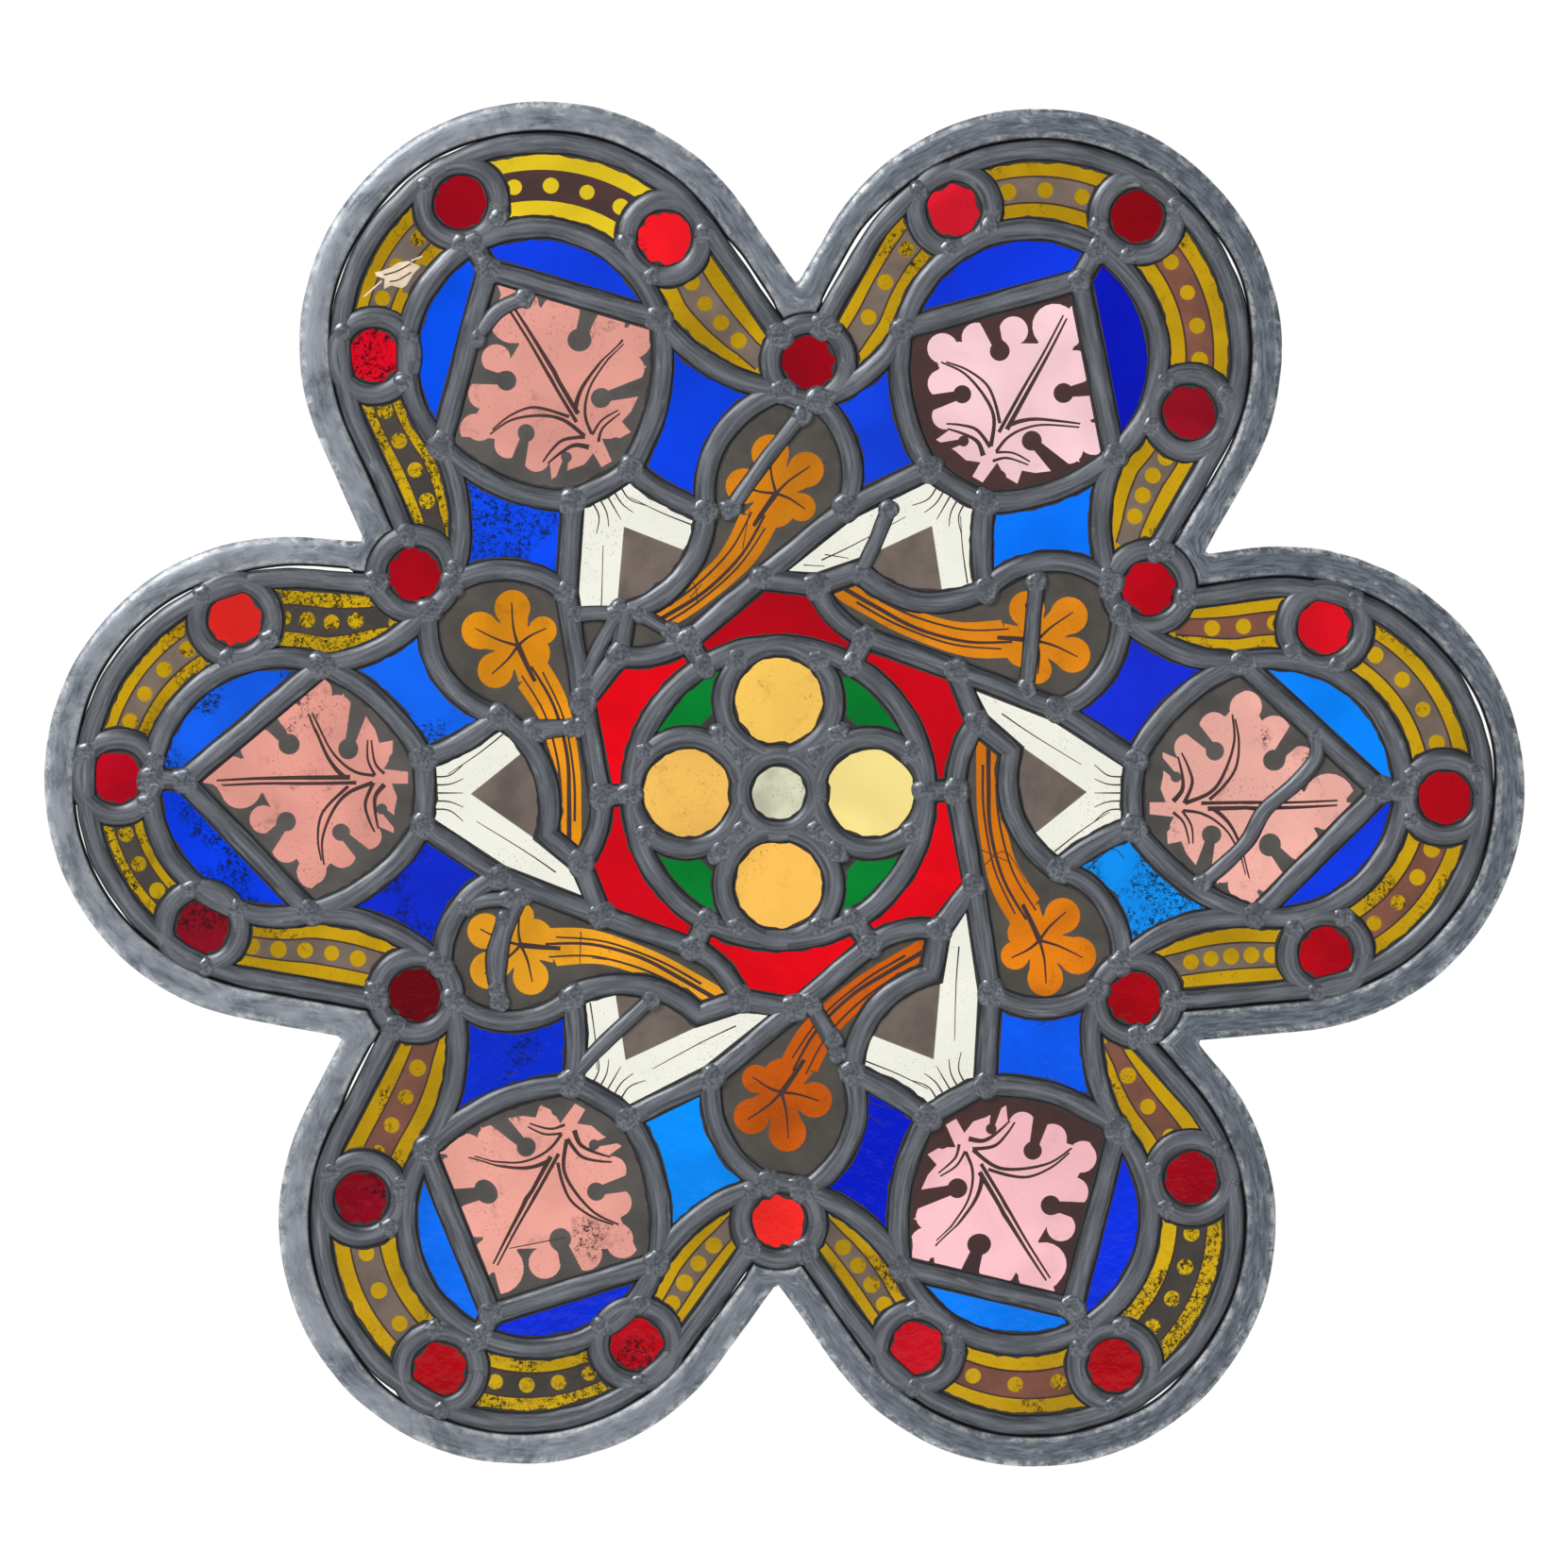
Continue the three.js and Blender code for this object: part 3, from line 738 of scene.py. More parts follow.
def paint(name, colour, transmission, wear, glimpse=None):
    """Fired glass paint, matt, with fine pinholes and rubbed places that let the glass through."""
    m, tree, shader = material(name, 0.0, 0.55, transmission)
    blot = patches(tree, 0.3, 0.7, 60, 6, 0.65)
    tone = mix(tree, blot, toned(colour, 0.7), toned(colour, 1.3))
    holes = patches(tree, 0.6, 0.72, 1100, 3, 0.6)
    rubbed = patches(tree, 0.5, 0.72, 90, 8, 0.75)
    tone = laid(tree, tone, glimpse or toned(colour, 4), holes, rubbed, wear)
    surface(tree, shader, tone, noise_at(tree, 500, 4, 0.6), 0.3, 0.0004)
    return m


def across_came(tree):
    """Distance from the middle of the came, in metres."""
    offset = part_of(tree, flow_place(tree), "X")
    return add_node(tree, "Math", {0: offset}, operation="ABSOLUTE").outputs[0]


def milled_lines(tree, streak):
    return noise_at(tree, 700, 5, 0.6, 0.0, streak)


def old_lead(name, colour, worn, oxide, oxidised, streak, roughness):
    """Old lead: milled streaks along it, dull patches, scratches, pits and a pale bloom of oxide."""
    m, tree, shader = material(name, 0.45, roughness)
    tone = mix(tree, band(tree, milled_lines(tree, streak), 0.36, 0.66), toned(colour, 0.72), worn)
    patch = patches(tree, 0.36, 0.66, 60, 6, 0.6, 0.5)
    tone = laid(tree, tone, toned(colour, 0.6), patch, 0.35)
    scratch = patches(tree, 0.6, 0.74, 1900, 3, 0.6, 0.0, streak)
    tone = laid(tree, tone, toned(worn, 1.6), scratch, 0.4)
    pits = patches(tree, 0.66, 0.72, 1500, 2, 0.5)
    tone = laid(tree, tone, toned(colour, 0.2), pits, 0.55)
    bloom = patches(tree, 0.54, 0.7, 260, 9, 0.75, 0.6, streak * 2.5)
    where = patches(tree, 0.42, 0.62, 34, 6, 0.7, 1.0)
    tone = laid(tree, tone, oxide, bloom, where, oxidised)
    return m, tree, shader, tone


def came_lead(name):
    """Came lead, paler along its crown, partly rubbed bright and partly a painted highlight, and dark at
    its sides from dirt and painted shade.
    """
    streak = 0.06
    m, tree, shader, tone = old_lead(
        name, rgb(68, 71, 76), rgb(100, 104, 110), rgb(176, 180, 182), 0.45, streak, 0.42)
    lines = milled_lines(tree, streak)
    # Paler along the crown: partly rubbed wear, partly a painted highlight on the rounded crown.
    rubbed = band(tree, across_came(tree), 0.0024, 0.0006)
    tone = laid(tree, tone, rgb(150, 155, 162), rubbed, lines, 0.5)
    # Dark at the sides where the came meets the glass: partly dirt, partly painted shade in that crease.
    tone = laid(tree, tone, rgb(30, 31, 34), band(tree, across_came(tree), 0.0036, 0.0044))
    surface(tree, shader, tone, lines, 0.35, 0.0004)
    return m


def solder_metal(name):
    m, tree, shader, tone = old_lead(
        name, rgb(88, 92, 98), rgb(118, 123, 130), rgb(190, 194, 197), 0.5, 1.0, 0.36)
    surface(tree, shader, tone, noise_at(tree, 200, 3, 0.5), 0.35, 0.0006)
    return m


def edge_metal(name):
    """The edge came: streaked with pale oxide, white at its rim, dark in the groove inside it from dirt
    and painted shade.
    """
    m, tree, shader, tone = old_lead(
        name, rgb(88, 95, 104), rgb(118, 126, 136), rgb(190, 195, 200), 0.8, 0.16, 0.5)
    place = across_came(tree)
    # Paler patches, more of them towards the left of the window.
    left = band(tree, part_of(tree, place_in(tree, "Object"), "X"), 0.16, -0.2)
    paler_left_patches = patches(tree, 0.34, 0.62, 48, 8, 0.7, 0.8, 0.5)
    tone = laid(tree, tone, rgb(168, 173, 180), paler_left_patches, left, 0.62)
    chalk = patches(tree, 0.45, 0.62, 130, 9, 0.8, 0.4)
    rim = band(tree, place, 0.0042, 0.0006)
    tone = laid(tree, tone, rgb(214, 216, 217), chalk, rim, 0.85)
    inner = band(tree, place, 0.0095, 0.012)
    tone = laid(tree, tone, rgb(206, 204, 198), chalk, inner, 0.5)
    # Dark in the groove between the edge came and the border came: partly dirt, partly painted shade in
    # the recess.
    tone = laid(tree, tone, rgb(22, 22, 24), band(tree, place, 0.0124, 0.0134))
    surface(tree, shader, tone, noise_at(tree, 300, 8, 0.7, 0.0, 0.2), 0.45, 0.0006)
    return m


LEAD = came_lead("old_lead")
SOLDER = solder_metal("solder")
EDGE_LEAD = edge_metal("oxidised_edge_lead")
PUTTY = paint("old_putty", rgb(42, 38, 36), 0.0, 0.3)
CRACK = paint("dirt_in_crack", rgb(20, 18, 20), 0.0, 0.0)
LINE = paint("painted_line", rgb(52, 26, 20), 0.1, 0.2, rgb(130, 80, 50))


# Panes

def slab_with_paint(rings, verts, faces, which):
    """Adds a pane whose faces are cut along painted shapes.

    rings are (points, material index). The first is the pane, the second the clean glass in it,
    and outside that the putty shows. A later shape lies over an earlier one.
    """
    points = []
    loops = []
    for ring, _ in rings:
        if sum((p.conjugate() * q).imag for p, q in zip(ring, ring[1:] + ring[:1])) < 0:
            ring = ring[::-1]
        loops.append(list(range(len(points), len(points) + len(ring))))
        points += [Vector((p.real, p.imag)) for p in ring]
    flat, _, tris, _, _, owners = geometry.delaunay_2d_cdt(points, [], loops, 1, 1e-4)
    base = len(verts)
    n = len(flat)
    for depth in (-GLASS / 2, GLASS / 2):
        verts.extend(world(complex(*p), depth) for p in flat)
    edges = {}
    for tri, owner in zip(tris, owners):
        if 0 not in owner:
            continue
        a, b, c = tri
        index = rings[max(owner)][1] if 1 in owner else rings[0][1]
        faces.append((base + a, base + b, base + c))
        faces.append((base + n + a, base + n + c, base + n + b))
        which.extend((index, index))
        for p, q in ((a, b), (b, c), (c, a)):
            if edges.pop((q, p), None) is None:
                edges[(p, q)] = True
    for p, q in edges:
        faces.append((base + q, base + p, base + n + p, base + n + q))
        which.append(rings[0][1])


def pane_rings(sides, seed, rough=0.9):
    """The pane itself and the clean glass in it, with an uneven line of putty along the cames."""
    whole = outline(sides, TUCK)
    clean = outline(sides, CAME / 2 + 0.15)
    n = len(clean)
    inner = []
    for i, p in enumerate(clean):
        along = unit(clean[(i + 1) % n] - clean[i - 1])
        inner.append(p + 1j * along * max(0, 0.5 + rough * wobble(p, 0.25, seed)))
    return [(whole, 0), (inner, 1)]


def pane(name, materials, shapes=(), k=0):
    """A pane of sector k: its painted shapes, then the pieces that mended it, then its cracks."""
    rings = pane_rings(CELLS[name], k) + list(shapes)
    for points in PATCHES.get(name, ()):
        rings.append((turned(points, k), len(materials) + 1))
    for points in CRACKS.get(name, ()):
        rings.append((stroke(turned(points, k), *CRACK_WIDTHS), len(materials)))
    if name in PATCHES:
        materials = [*materials, GROUNDS["scroll"]]
    verts, faces, which = [], [], []
    slab_with_paint(rings, verts, faces, which)
    glass_piece(name + "_pane", verts, faces, [PUTTY, *materials], which, name)


def stroke(points, start, end=None, parts=5):
    """A brush stroke along a few points, its width going from start to end."""
    end = start if end is None else end
    run = smooth(points, parts)
    n = len(run)
    left, right = [], []
    for i, p in enumerate(run):
        along = unit(run[min(i + 1, n - 1)] - run[max(i - 1, 0)])
        half = (start + (end - start) * i / (n - 1)) / 2
        left.append(p + 1j * along * half)
        right.append(p - 1j * along * half)
    return right + left[::-1]


def turned(points, k):
    """Points of the drawing of one sector, in photo pixels from the middle, put in sector k."""
    return [p * PX * SECTORS[k].turn for p in points]


def ray_length(ring, at, way):
    """How far it is from a point inside a ring to the ring."""
    best = 1e9
    for p, q in zip(ring, ring[1:] + ring[:1]):
        u = q - p
        cross = (way.conjugate() * u).imag
        if abs(cross) < 1e-9:
            continue
        t = ((p - at).conjugate() * u).imag / cross
        s = ((p - at).conjugate() * way).imag / cross
        if 0 <= s <= 1 and t > 0:
            best = min(best, t)
    return best


# The oak leaf of a shield, drawn in photo pixels: its scallops (middle, radius), the sheet between
# them, the dark eyes (middle, radius, mouth at the leaf's edge) and the double-line veins
LEAF_HEART = 498 - 8j
LEAF_SHARE = 0.96
SCALLOPS = (
    (494 + 89j, 17), (523 + 62j, 17), (550 + 31j, 16), (577 - 6j, 25), (577 - 19j, 19), (549 - 48j, 19),
    (518 - 80j, 16), (491 - 105j, 18), (467 - 87j, 16), (431 + 49j, 15), (460 + 70j, 16),
)
SHEET = (
    494 + 104j, 511 + 74j, 525 + 45j, 538 + 24j, 551 + 1j, 607 - 11j, 588 - 32j, 563 - 36j, 556 - 56j,
    519 - 75j, 506 - 93j, 491 - 120j, 471 - 91j, 461 - 105j, 454 - 75j, 450 - 58j, 438 - 84j, 426 - 68j,
    421 - 54j, 406 - 57j, 406 - 41j, 415 - 26j, 388 - 23j, 388 - 10j, 406 - 10j, 400 + 5j, 403 + 20j,
    403 + 45j, 419 + 38j, 428 + 49j, 444 + 62j, 458 + 86j, 473 + 81j,
)
EYES = (
    (523 + 33j, 11, 548 + 62j), (518 - 51j, 11, 548 - 86j), (455 - 47j, 11, 442 - 98j),
    (461 + 45j, 10, 430 + 76j), (417 + 18j, 6, 398 + 36j), (402 - 36j, 8, 388 - 56j),
)
VEINS = (
    ((445 - 11j, 498 - 10j, 543 - 10j, 592 - 8j), 3.4, 1.6),
    ((452 - 17j, 505 - 16j, 551 - 15j, 591 - 13j), 4.4, 1.6),
    ((427 - 11j, 455 + 1j, 471 + 22j, 482 + 54j, 480 + 83j), 3.8, 1.4),
    ((454 - 7j, 472 + 10j, 484 + 28j, 487 + 54j, 483 + 78j), 3.0, 1.4),
    ((426 - 11j, 435 + 11j, 431 + 29j, 424 + 44j), 3.4, 1.4),
    ((414 - 9j, 424 + 4j, 424 + 21j, 420 + 40j), 4.6, 1.4),
    ((458 - 17j, 469 - 27j, 479 - 41j, 490 - 65j, 498 - 84j), 4.2, 1.4),
    ((425 - 19j, 444 - 22j, 461 - 32j, 477 - 50j, 494 - 85j), 3.0, 1.4),
    ((424 - 19j, 433 - 36j, 434 - 57j), 2.4, 1.2),
    ((414 - 21j, 425 - 33j, 430 - 57j), 2.8, 1.2),
)


def keyhole(at, radius, mouth):
    """A round eye with a channel that opens out towards its mouth."""
    middle = (at + mouth) / 2
    return [circle(at, radius, 18), stroke([at, middle, mouth], radius * 0.8, radius * 2.0)]


def leaf_shapes(k, ground, body, line, name):
    """The oak leaf, stretched from the shield it was drawn for to the shield of sector k."""
    model = outline(CELLS["upper_right_lobe_leaf"], CAME / 2)
    shield = outline(CELLS[name], CAME / 2)
    drawn_at = turned([LEAF_HEART], 1)[0]
    at = turned([LEAF_HEART], k)[0]

    def fit(points):
        run = []
        for p in points:
            off = p - LEAF_HEART
            way = unit(off)
            whole = ray_length(shield, at, way * SECTORS[k].turn)
            drawn = ray_length(model, drawn_at, way * SECTORS[1].turn)
            run.append(at + off * PX * SECTORS[k].turn * whole / drawn * LEAF_SHARE)
        return run

    shapes = [(fit(SHEET), body)]
    shapes += [(fit(circle(middle, radius, 20)), body) for middle, radius in SCALLOPS]
    for eye in EYES:
        shapes += [(fit(ring), ground) for ring in keyhole(*eye)]
    for points, start, end in VEINS:
        shapes.append((fit(stroke(points, start * 1.25, end * 1.25)), line))
    return shapes


STEM_LEFT = (209 + 60j, 209 + 20j, 211 - 31j, 224 - 99j, 250 - 146j)
STEM_RIGHT = (229 + 60j, 231 + 24j, 236 - 8j, 250 - 70j, 276 - 112j)
FLOWER_HEART = 276 - 156j
FLOWER = ((262 - 148j, 20), (300 - 130j, 19), (316 - 172j, 20), (282 - 196j, 19), (250 - 172j, 15))
STEM_NECK = (262 - 122j, 268 - 138j, FLOWER_HEART)
STEM_LINES = (
    ((222 + 52j, 222 + 10j, 224 - 40j, 238 - 92j, 262 - 134j), 3.0, 1.5),
    ((216 + 30j, 217 - 20j, 228 - 80j, 250 - 128j), 1.6, 1.0),
    ((230 + 10j, 234 - 34j, 248 - 84j, 272 - 124j), 1.6, 1.0),
    ((258 - 118j, 266 - 134j, 276 - 156j), 2.4, 3.6),
)


def scroll_shapes(k, body, line):
    """A stem that runs out into a leaf of rounded lobes, with brush lines along it."""
    stem = smooth(STEM_LEFT) + smooth(STEM_RIGHT)[::-1]
    shapes = [(turned(stem, k), body)]
    shapes.append((turned(stroke(STEM_NECK, 28, 24), k), body))
    for at, radius in FLOWER:
        shapes.append((circle(turned([at], k)[0], radius * PX, 20), body))
        neck = [FLOWER_HEART, FLOWER_HEART * 0.5 + at * 0.5, at]
        shapes.append((turned(stroke(neck, radius * 0.9, radius * 1.9), k), body))
    for points, start, end in STEM_LINES:
        shapes.append((turned(stroke(points, start * 1.7, end * 1.7), k), line))
    for at, radius in FLOWER[1:]:
        way = unit(at - FLOWER_HEART)
        vein = [FLOWER_HEART, (FLOWER_HEART + at) / 2 + 2 * way * 1j, at + way * radius * 0.3]
        shapes.append((turned(stroke(vein, 3.4, 1.2), k), line))
    return shapes


STRAP_CROOK = (236 + 64j, 326 + 1j, 240 - 68j)
STRAP_FAN = (374, 350, 334)  # how far out the brush lines of the fan start, bend and end
STRAP_LINES = ((236 + 84j, 268 + 62j, 320 + 30j), (292 - 62j, 320 - 40j, 350 - 20j))


def strap_shapes(k, ground, line):
    """A white strap bent to a V: a dark triangle in its crook and brush lines towards the leaf."""
    shapes = [(turned(STRAP_CROOK, k), ground)]
    for rise in (-20, -10, 0, 10, 20):
        fan = [complex(x, rise * share) for x, share in zip(STRAP_FAN, (0.9, 0.9, 1.5))]
        shapes.append((turned(stroke(fan, 2.2, 0.7), k), line))
    for points in STRAP_LINES:
        shapes.append((turned(stroke(points, 1.6, 0.7), k), line))
    return shapes


# Colours of each pane, as the photo shows them: the light through the glass
BLUES = {
    "right": ((20, 45, 215), (10, 145, 245), (0, 130, 250), (10, 55, 225)),
    "upper_right": ((15, 65, 225), (0, 115, 255), (10, 55, 230), (2, 18, 182)),
    "upper_left": ((5, 74, 245), (5, 64, 228), (0, 80, 240), (10, 60, 225)),
    "left": ((10, 40, 200), (15, 105, 250), (0, 60, 235), (15, 95, 240)),
    "lower_left": ((0, 140, 250), (5, 45, 210), (10, 45, 220), (5, 110, 245)),
    "lower_right": ((5, 90, 245), (0, 25, 200), (5, 45, 220), (0, 125, 250)),
}
BLUE_PLACES = ("inner_left", "inner_right", "outer_left", "outer_right")
# Cracks in panes, and dark pieces that mended them, in photo pixels of one sector's drawing
CRACK_WIDTHS = (0.45, 0.3)
CRACKS = {
    "upper_left_lobe_scroll": (
        (217 - 26j, 236 - 33j, 250 - 24j), (226 - 22j, 232 - 40j), (243 - 96j, 276 - 124j),
    ),
    "upper_right_lobe_strap": ((222 + 98j, 232 + 78j), (243 + 84j, 252 + 60j)),
    "right_lobe_scroll": ((214 - 60j, 246 - 74j), (218 - 76j, 240 - 62j, 262 - 96j)),
    "lower_left_lobe_scroll": ((232 - 108j, 262 - 92j), (244 - 70j, 250 - 84j)),
    "lower_right_lobe_blue_inner_right": ((310 - 100j, 352 - 62j), (330 - 92j, 362 - 80j)),
    "right_lobe_blue_inner_right": ((312 - 96j, 350 - 60j, 366 - 70j),),
    "lower_left_lobe_leaf": ((520 + 40j, 560 - 6j),),
}
PATCHES = {
    "upper_left_lobe_scroll": ((194 + 20j, 204 + 14j, 240 + 33j, 250 + 60j, 200 + 75j),),
    "upper_left_lobe_strap": ((250 + 55j, 272 + 94j, 230 + 140j, 180 + 140j, 196 + 84j),),
    "lower_left_lobe_scroll": ((180 - 170j, 256 - 186j, 236 - 236j, 180 - 230j),),
}
# How much soot a blue pane carries, and a jewel: the first of a left lobe, its others, and the rest
SOOTY = {
    "right_inner_right": 0.8, "upper_left_inner_left": 0.9, "left_inner_left": 1.0,
    "left_outer_left": 1.0, "left_inner_right": 0.6, "left_outer_right": 0.7,
    "lower_left_inner_right": 0.6, "lower_right_inner_left": 0.4,
}
SOOTY_JEWELS = (0.95, 0.35, 0.2)
JEWELS = {
    "right": ((220, 10, 30), (190, 0, 20), (175, 0, 20), (195, 0, 25)),
    "upper_right": ((228, 24, 46), (150, 0, 15), (150, 10, 30), (150, 0, 20)),
    "upper_left": ((224, 0, 30), (150, 0, 20), (255, 22, 35), (165, 0, 20)),
    "left": ((140, 10, 30), (190, 0, 30), (240, 40, 35), (100, 0, 10)),
    "lower_left": ((185, 0, 20), (175, 0, 15), (140, 0, 25), (250, 40, 35)),
    "lower_right": ((150, 0, 20), (175, 0, 15), (200, 10, 30), (165, 0, 15)),
}
LEAVES = {
    "right": ((240, 176, 164), "grey"), "upper_right": ((252, 208, 214), "dark"),
    "upper_left": ((228, 158, 145), "grey"), "left": ((228, 156, 142), "grey"),
    "lower_left": ((236, 164, 150), "grey"), "lower_right": ((254, 193, 200), "dark"),
}
SCROLLS = {
    "right": (225, 125, 15), "upper_right": (225, 135, 20), "upper_left": (215, 130, 20),
    "left": (235, 150, 20), "lower_left": (240, 165, 35), "lower_right": (200, 90, 10),
}


def colour_glass(colour, **looks):
    marks = [*map(str, colour), *(f"{look}{int(10 * value)}" for look, value in looks.items())]
    return glass("glass_" + "_".join(marks), rgb(*colour), **looks)


GROUNDS = {
    "brown": paint("grey_brown_ground", rgb(112, 96, 84), 0.75, 0.5, rgb(190, 160, 90)),
    "red": paint("reddish_ground", rgb(122, 72, 52), 0.75, 0.5, rgb(190, 140, 80)),
    "dark": paint("dark_brown_ground", rgb(60, 24, 20), 0.3, 0.2, rgb(150, 90, 60)),
    "grey": paint("grey_ground", rgb(80, 76, 72), 0.5, 0.4, rgb(180, 160, 150)),
    "black": paint("blackened_ground", rgb(58, 50, 42), 0.5, 0.7, rgb(190, 170, 60)),
    "scroll": paint("scroll_ground", rgb(74, 69, 61), 0.5, 0.4, rgb(170, 140, 100)),
    "strap": paint("strap_ground", rgb(112, 98, 90), 0.6, 0.5, rgb(190, 180, 170)),
}

pane("centre_roundel", [colour_glass((216, 216, 188), specks=0.8, stain=0.3)])
for place, colour in (("right", (255, 232, 146)), ("top", (252, 202, 94)), ("left", (244, 190, 92)),
                      ("bottom", (250, 192, 88))):
    specks = 0.1 if place == "right" else 0.7
    body = colour_glass(colour, specks=specks, stain=specks * 0.5, depth=0.15)
    pane("centre_amber_" + place, [body])
for place in ("upper_right", "upper_left", "lower_left", "lower_right"):
    pane("centre_green_" + place, [colour_glass((0, 135, 50), stain=0.2)])
for place, value in zip(RED_PLACES, (200, 178, 240, 204, 236, 234)):
    pane("red_" + place, [colour_glass((value, 0, 20), stain=0.15, depth=0.2)])
for k, s in enumerate(SECTORS):
    name = s.name + "_lobe_"
    colour, ground = LEAVES[s.name]
    worn = 0.15 if ground == "dark" else 0.6
    soot = 0.0 if ground == "dark" else 0.35
    body = colour_glass(colour, stain=worn, specks=worn, soot=soot, depth=0.16)
    shapes = leaf_shapes(k, 1, 2, 3, name + "leaf")
    pane(name + "leaf", [GROUNDS[ground], body, LINE], shapes, k)
    body = colour_glass(SCROLLS[s.name], stain=0.4, specks=0.5, depth=0.3)
    pane(name + "scroll", [GROUNDS["scroll"], body, LINE], scroll_shapes(k, 2, 3), k)
    body = colour_glass((240, 240, 228), stain=0.12, specks=0.5, depth=0.06)
    pane(name + "strap", [body, GROUNDS["strap"], LINE], strap_shapes(k, 2, 3), k)
    for place, colour in zip(BLUE_PLACES, BLUES[s.name]):
        soot = SOOTY.get(s.name + "_" + place, 0.0)
        body = colour_glass(colour, stain=0.12, specks=0.15, soot=soot, depth=0.2)
        pane(name + "blue_" + place, [body, CRACK], (), k)


# The beaded band

STRIPE = 0.27  # share of the band's width that each gold stripe takes
BEAD = 3.3  # radius of a bead
BEYOND = 9  # how far stripes and ground run on under the leads at a pane's ends
INSIDE = 4  # where the rays that measure the band's width start, from its outer side

# Ground and number of beads of each gold pane, from the right jewel on
BEADING = {
    "right": (("brown", 5), ("red", 4), ("brown", 4), ("red", 3)),
    "upper_right": (("brown", 4), ("red", 4), ("brown", 3), ("brown", 4)),
    "upper_left": (("brown", 4), ("dark", 4), ("brown", 3), ("black", 4)),
    "left": (("black", 4), ("brown", 4), ("black", 3), ("brown", 5)),
    "lower_left": (("red", 4), ("brown", 3), ("black", 4), ("brown", 4)),
    "lower_right": (("brown", 4), ("red", 3), ("black", 4), ("red", 3)),
}


def beads(k, sides, body, ground, line, dots):
    """Gold stripes along both sides of a pane, and a row of beads on the ground between them."""
    band_outline = outline(RUNS[k], CAME / 2)
    start = corner(sides[-1], sides[0], CAME / 2)
    end = corner(sides[0], sides[1], CAME / 2)
    outer = even(path_of(replace(sides[0].moved(CAME / 2), a=start, b=end)), 14) + [end]
    outer = [outer[0] + 5 * unit(outer[0] - outer[1]), *outer, end + 5 * unit(end - outer[-2])]
    low, high, middle_line = [], [], []
    for i in range(1, len(outer) - 1):
        way = 1j * unit(outer[i + 1] - outer[i - 1])
        wide = INSIDE + ray_length(band_outline, outer[i] + way * INSIDE, way)
        low.append(outer[i] + way * wide * STRIPE)
        high.append(outer[i] + way * wide * (1 - STRIPE))
        middle_line.append(outer[i] + way * wide * 0.5)

    first = BEYOND * unit(middle_line[0] - middle_line[1])
    last = BEYOND * unit(middle_line[-1] - middle_line[-2])

    def longer(run):
        return [run[0] + first, *run, run[-1] + last]

    shapes = [(longer(low) + longer(high)[::-1], ground)]
    for run in (low, high):
        shapes.append((stroke(longer(run), 0.7, 0.7, 2), line))
    for at in even(middle_line, 2 * dots)[1::2]:
        shapes.append((circle(at, BEAD + 0.4 * wobble(at, 0.3, 5), 18), body))
    return shapes


# The broken gold pane of the upper left lobe, with a pale scrap and straws, in photo pixels
SCRAP = (
    -426 + 547j, -417 + 544j, -418 + 533j, -410 + 537j, -399 + 534j, -394 + 537j, -386 + 550j,
    -379 + 557j, -392 + 563j, -403 + 561j, -415 + 553j, -427 + 551j,
)
LOST = (-394 + 547j, -399 + 530j, -385 + 527j, -369 + 556j, -379 + 560j)
STRAWS = ((-439 + 525j, -420 + 542j), (-389 + 563j, -377 + 568j), (-427 + 549j, -408 + 556j))
FOLDS = ((-418 + 548j, -404 + 552j, -389 + 560j), (-412 + 541j, -402 + 543j, -389 + 551j))

gold = colour_glass((192, 152, 10), stain=0.4, specks=0.6, soot=0.5, depth=0.3)
bright = colour_glass((234, 202, 34), stain=0.2, specks=0.3, depth=0.2)
worn_gold = colour_glass((204, 166, 14), stain=0.6, specks=1.0, soot=1.1, depth=0.3)
verts, faces, which = [], [], []
palette = [PUTTY]


def index_of(m):
    if m not in palette:
        palette.append(m)
    return palette.index(m)


for k, place, sides in BAND:
    kind, dots = BEADING[SECTORS[k].name][place]
    body = index_of({"black": worn_gold, "dark": bright}.get(kind, gold))
    ground = index_of(GROUNDS[kind])
    line = index_of(LINE)
    shapes = beads(k, sides, body, ground, line, dots)
    if SECTORS[k].name == "upper_left" and place == 2:
        straw = index_of(paint("straw", rgb(222, 202, 176), 0.2, 0.4, rgb(120, 96, 80)))
        shapes += [(turned(LOST, 0), ground), (turned(SCRAP, 0), straw)]
        shapes += [(stroke(turned(run, 0), 0.7), straw) for run in STRAWS]
        shapes += [(stroke(turned(run, 0), 0.6), line) for run in FOLDS]
    rings = pane_rings(sides, k + place)
    slab_with_paint([rings[0], (rings[1][0], body), *shapes], verts, faces, which)
for k, s in enumerate(SECTORS):
    for i, (at, colour) in enumerate(zip((*s.jewels, s.cusp), JEWELS[s.name])):
        soot = SOOTY_JEWELS[min(i, 1) if "left" in s.name else 2]
        body = index_of(colour_glass(colour, stain=0.35, specks=0.5, soot=soot, depth=0.25))
        rings = pane_rings([arc(at, JEWEL_RING, 1)], k, 2.2)
        slab_with_paint([rings[0], (rings[1][0], body)], verts, faces, which)
glass_piece("beaded_band", verts, faces, palette, which, "beaded_band_glass")


# Leadwork

lead_cames = Lead()
for paths, closed, width, seed, step in (
    (PATHS, False, 1.0, 0, 0.37), (BORDERS, False, 0.95, 30, 0.37), (LOOPS, True, 1.0, 40, 0.41),
):
    for i, path in enumerate(paths):
        lead_cames.sweep(path, closed, width, seed + i * step)
lead_cames.build("lead_cames", LEAD, "inner_leadwork")

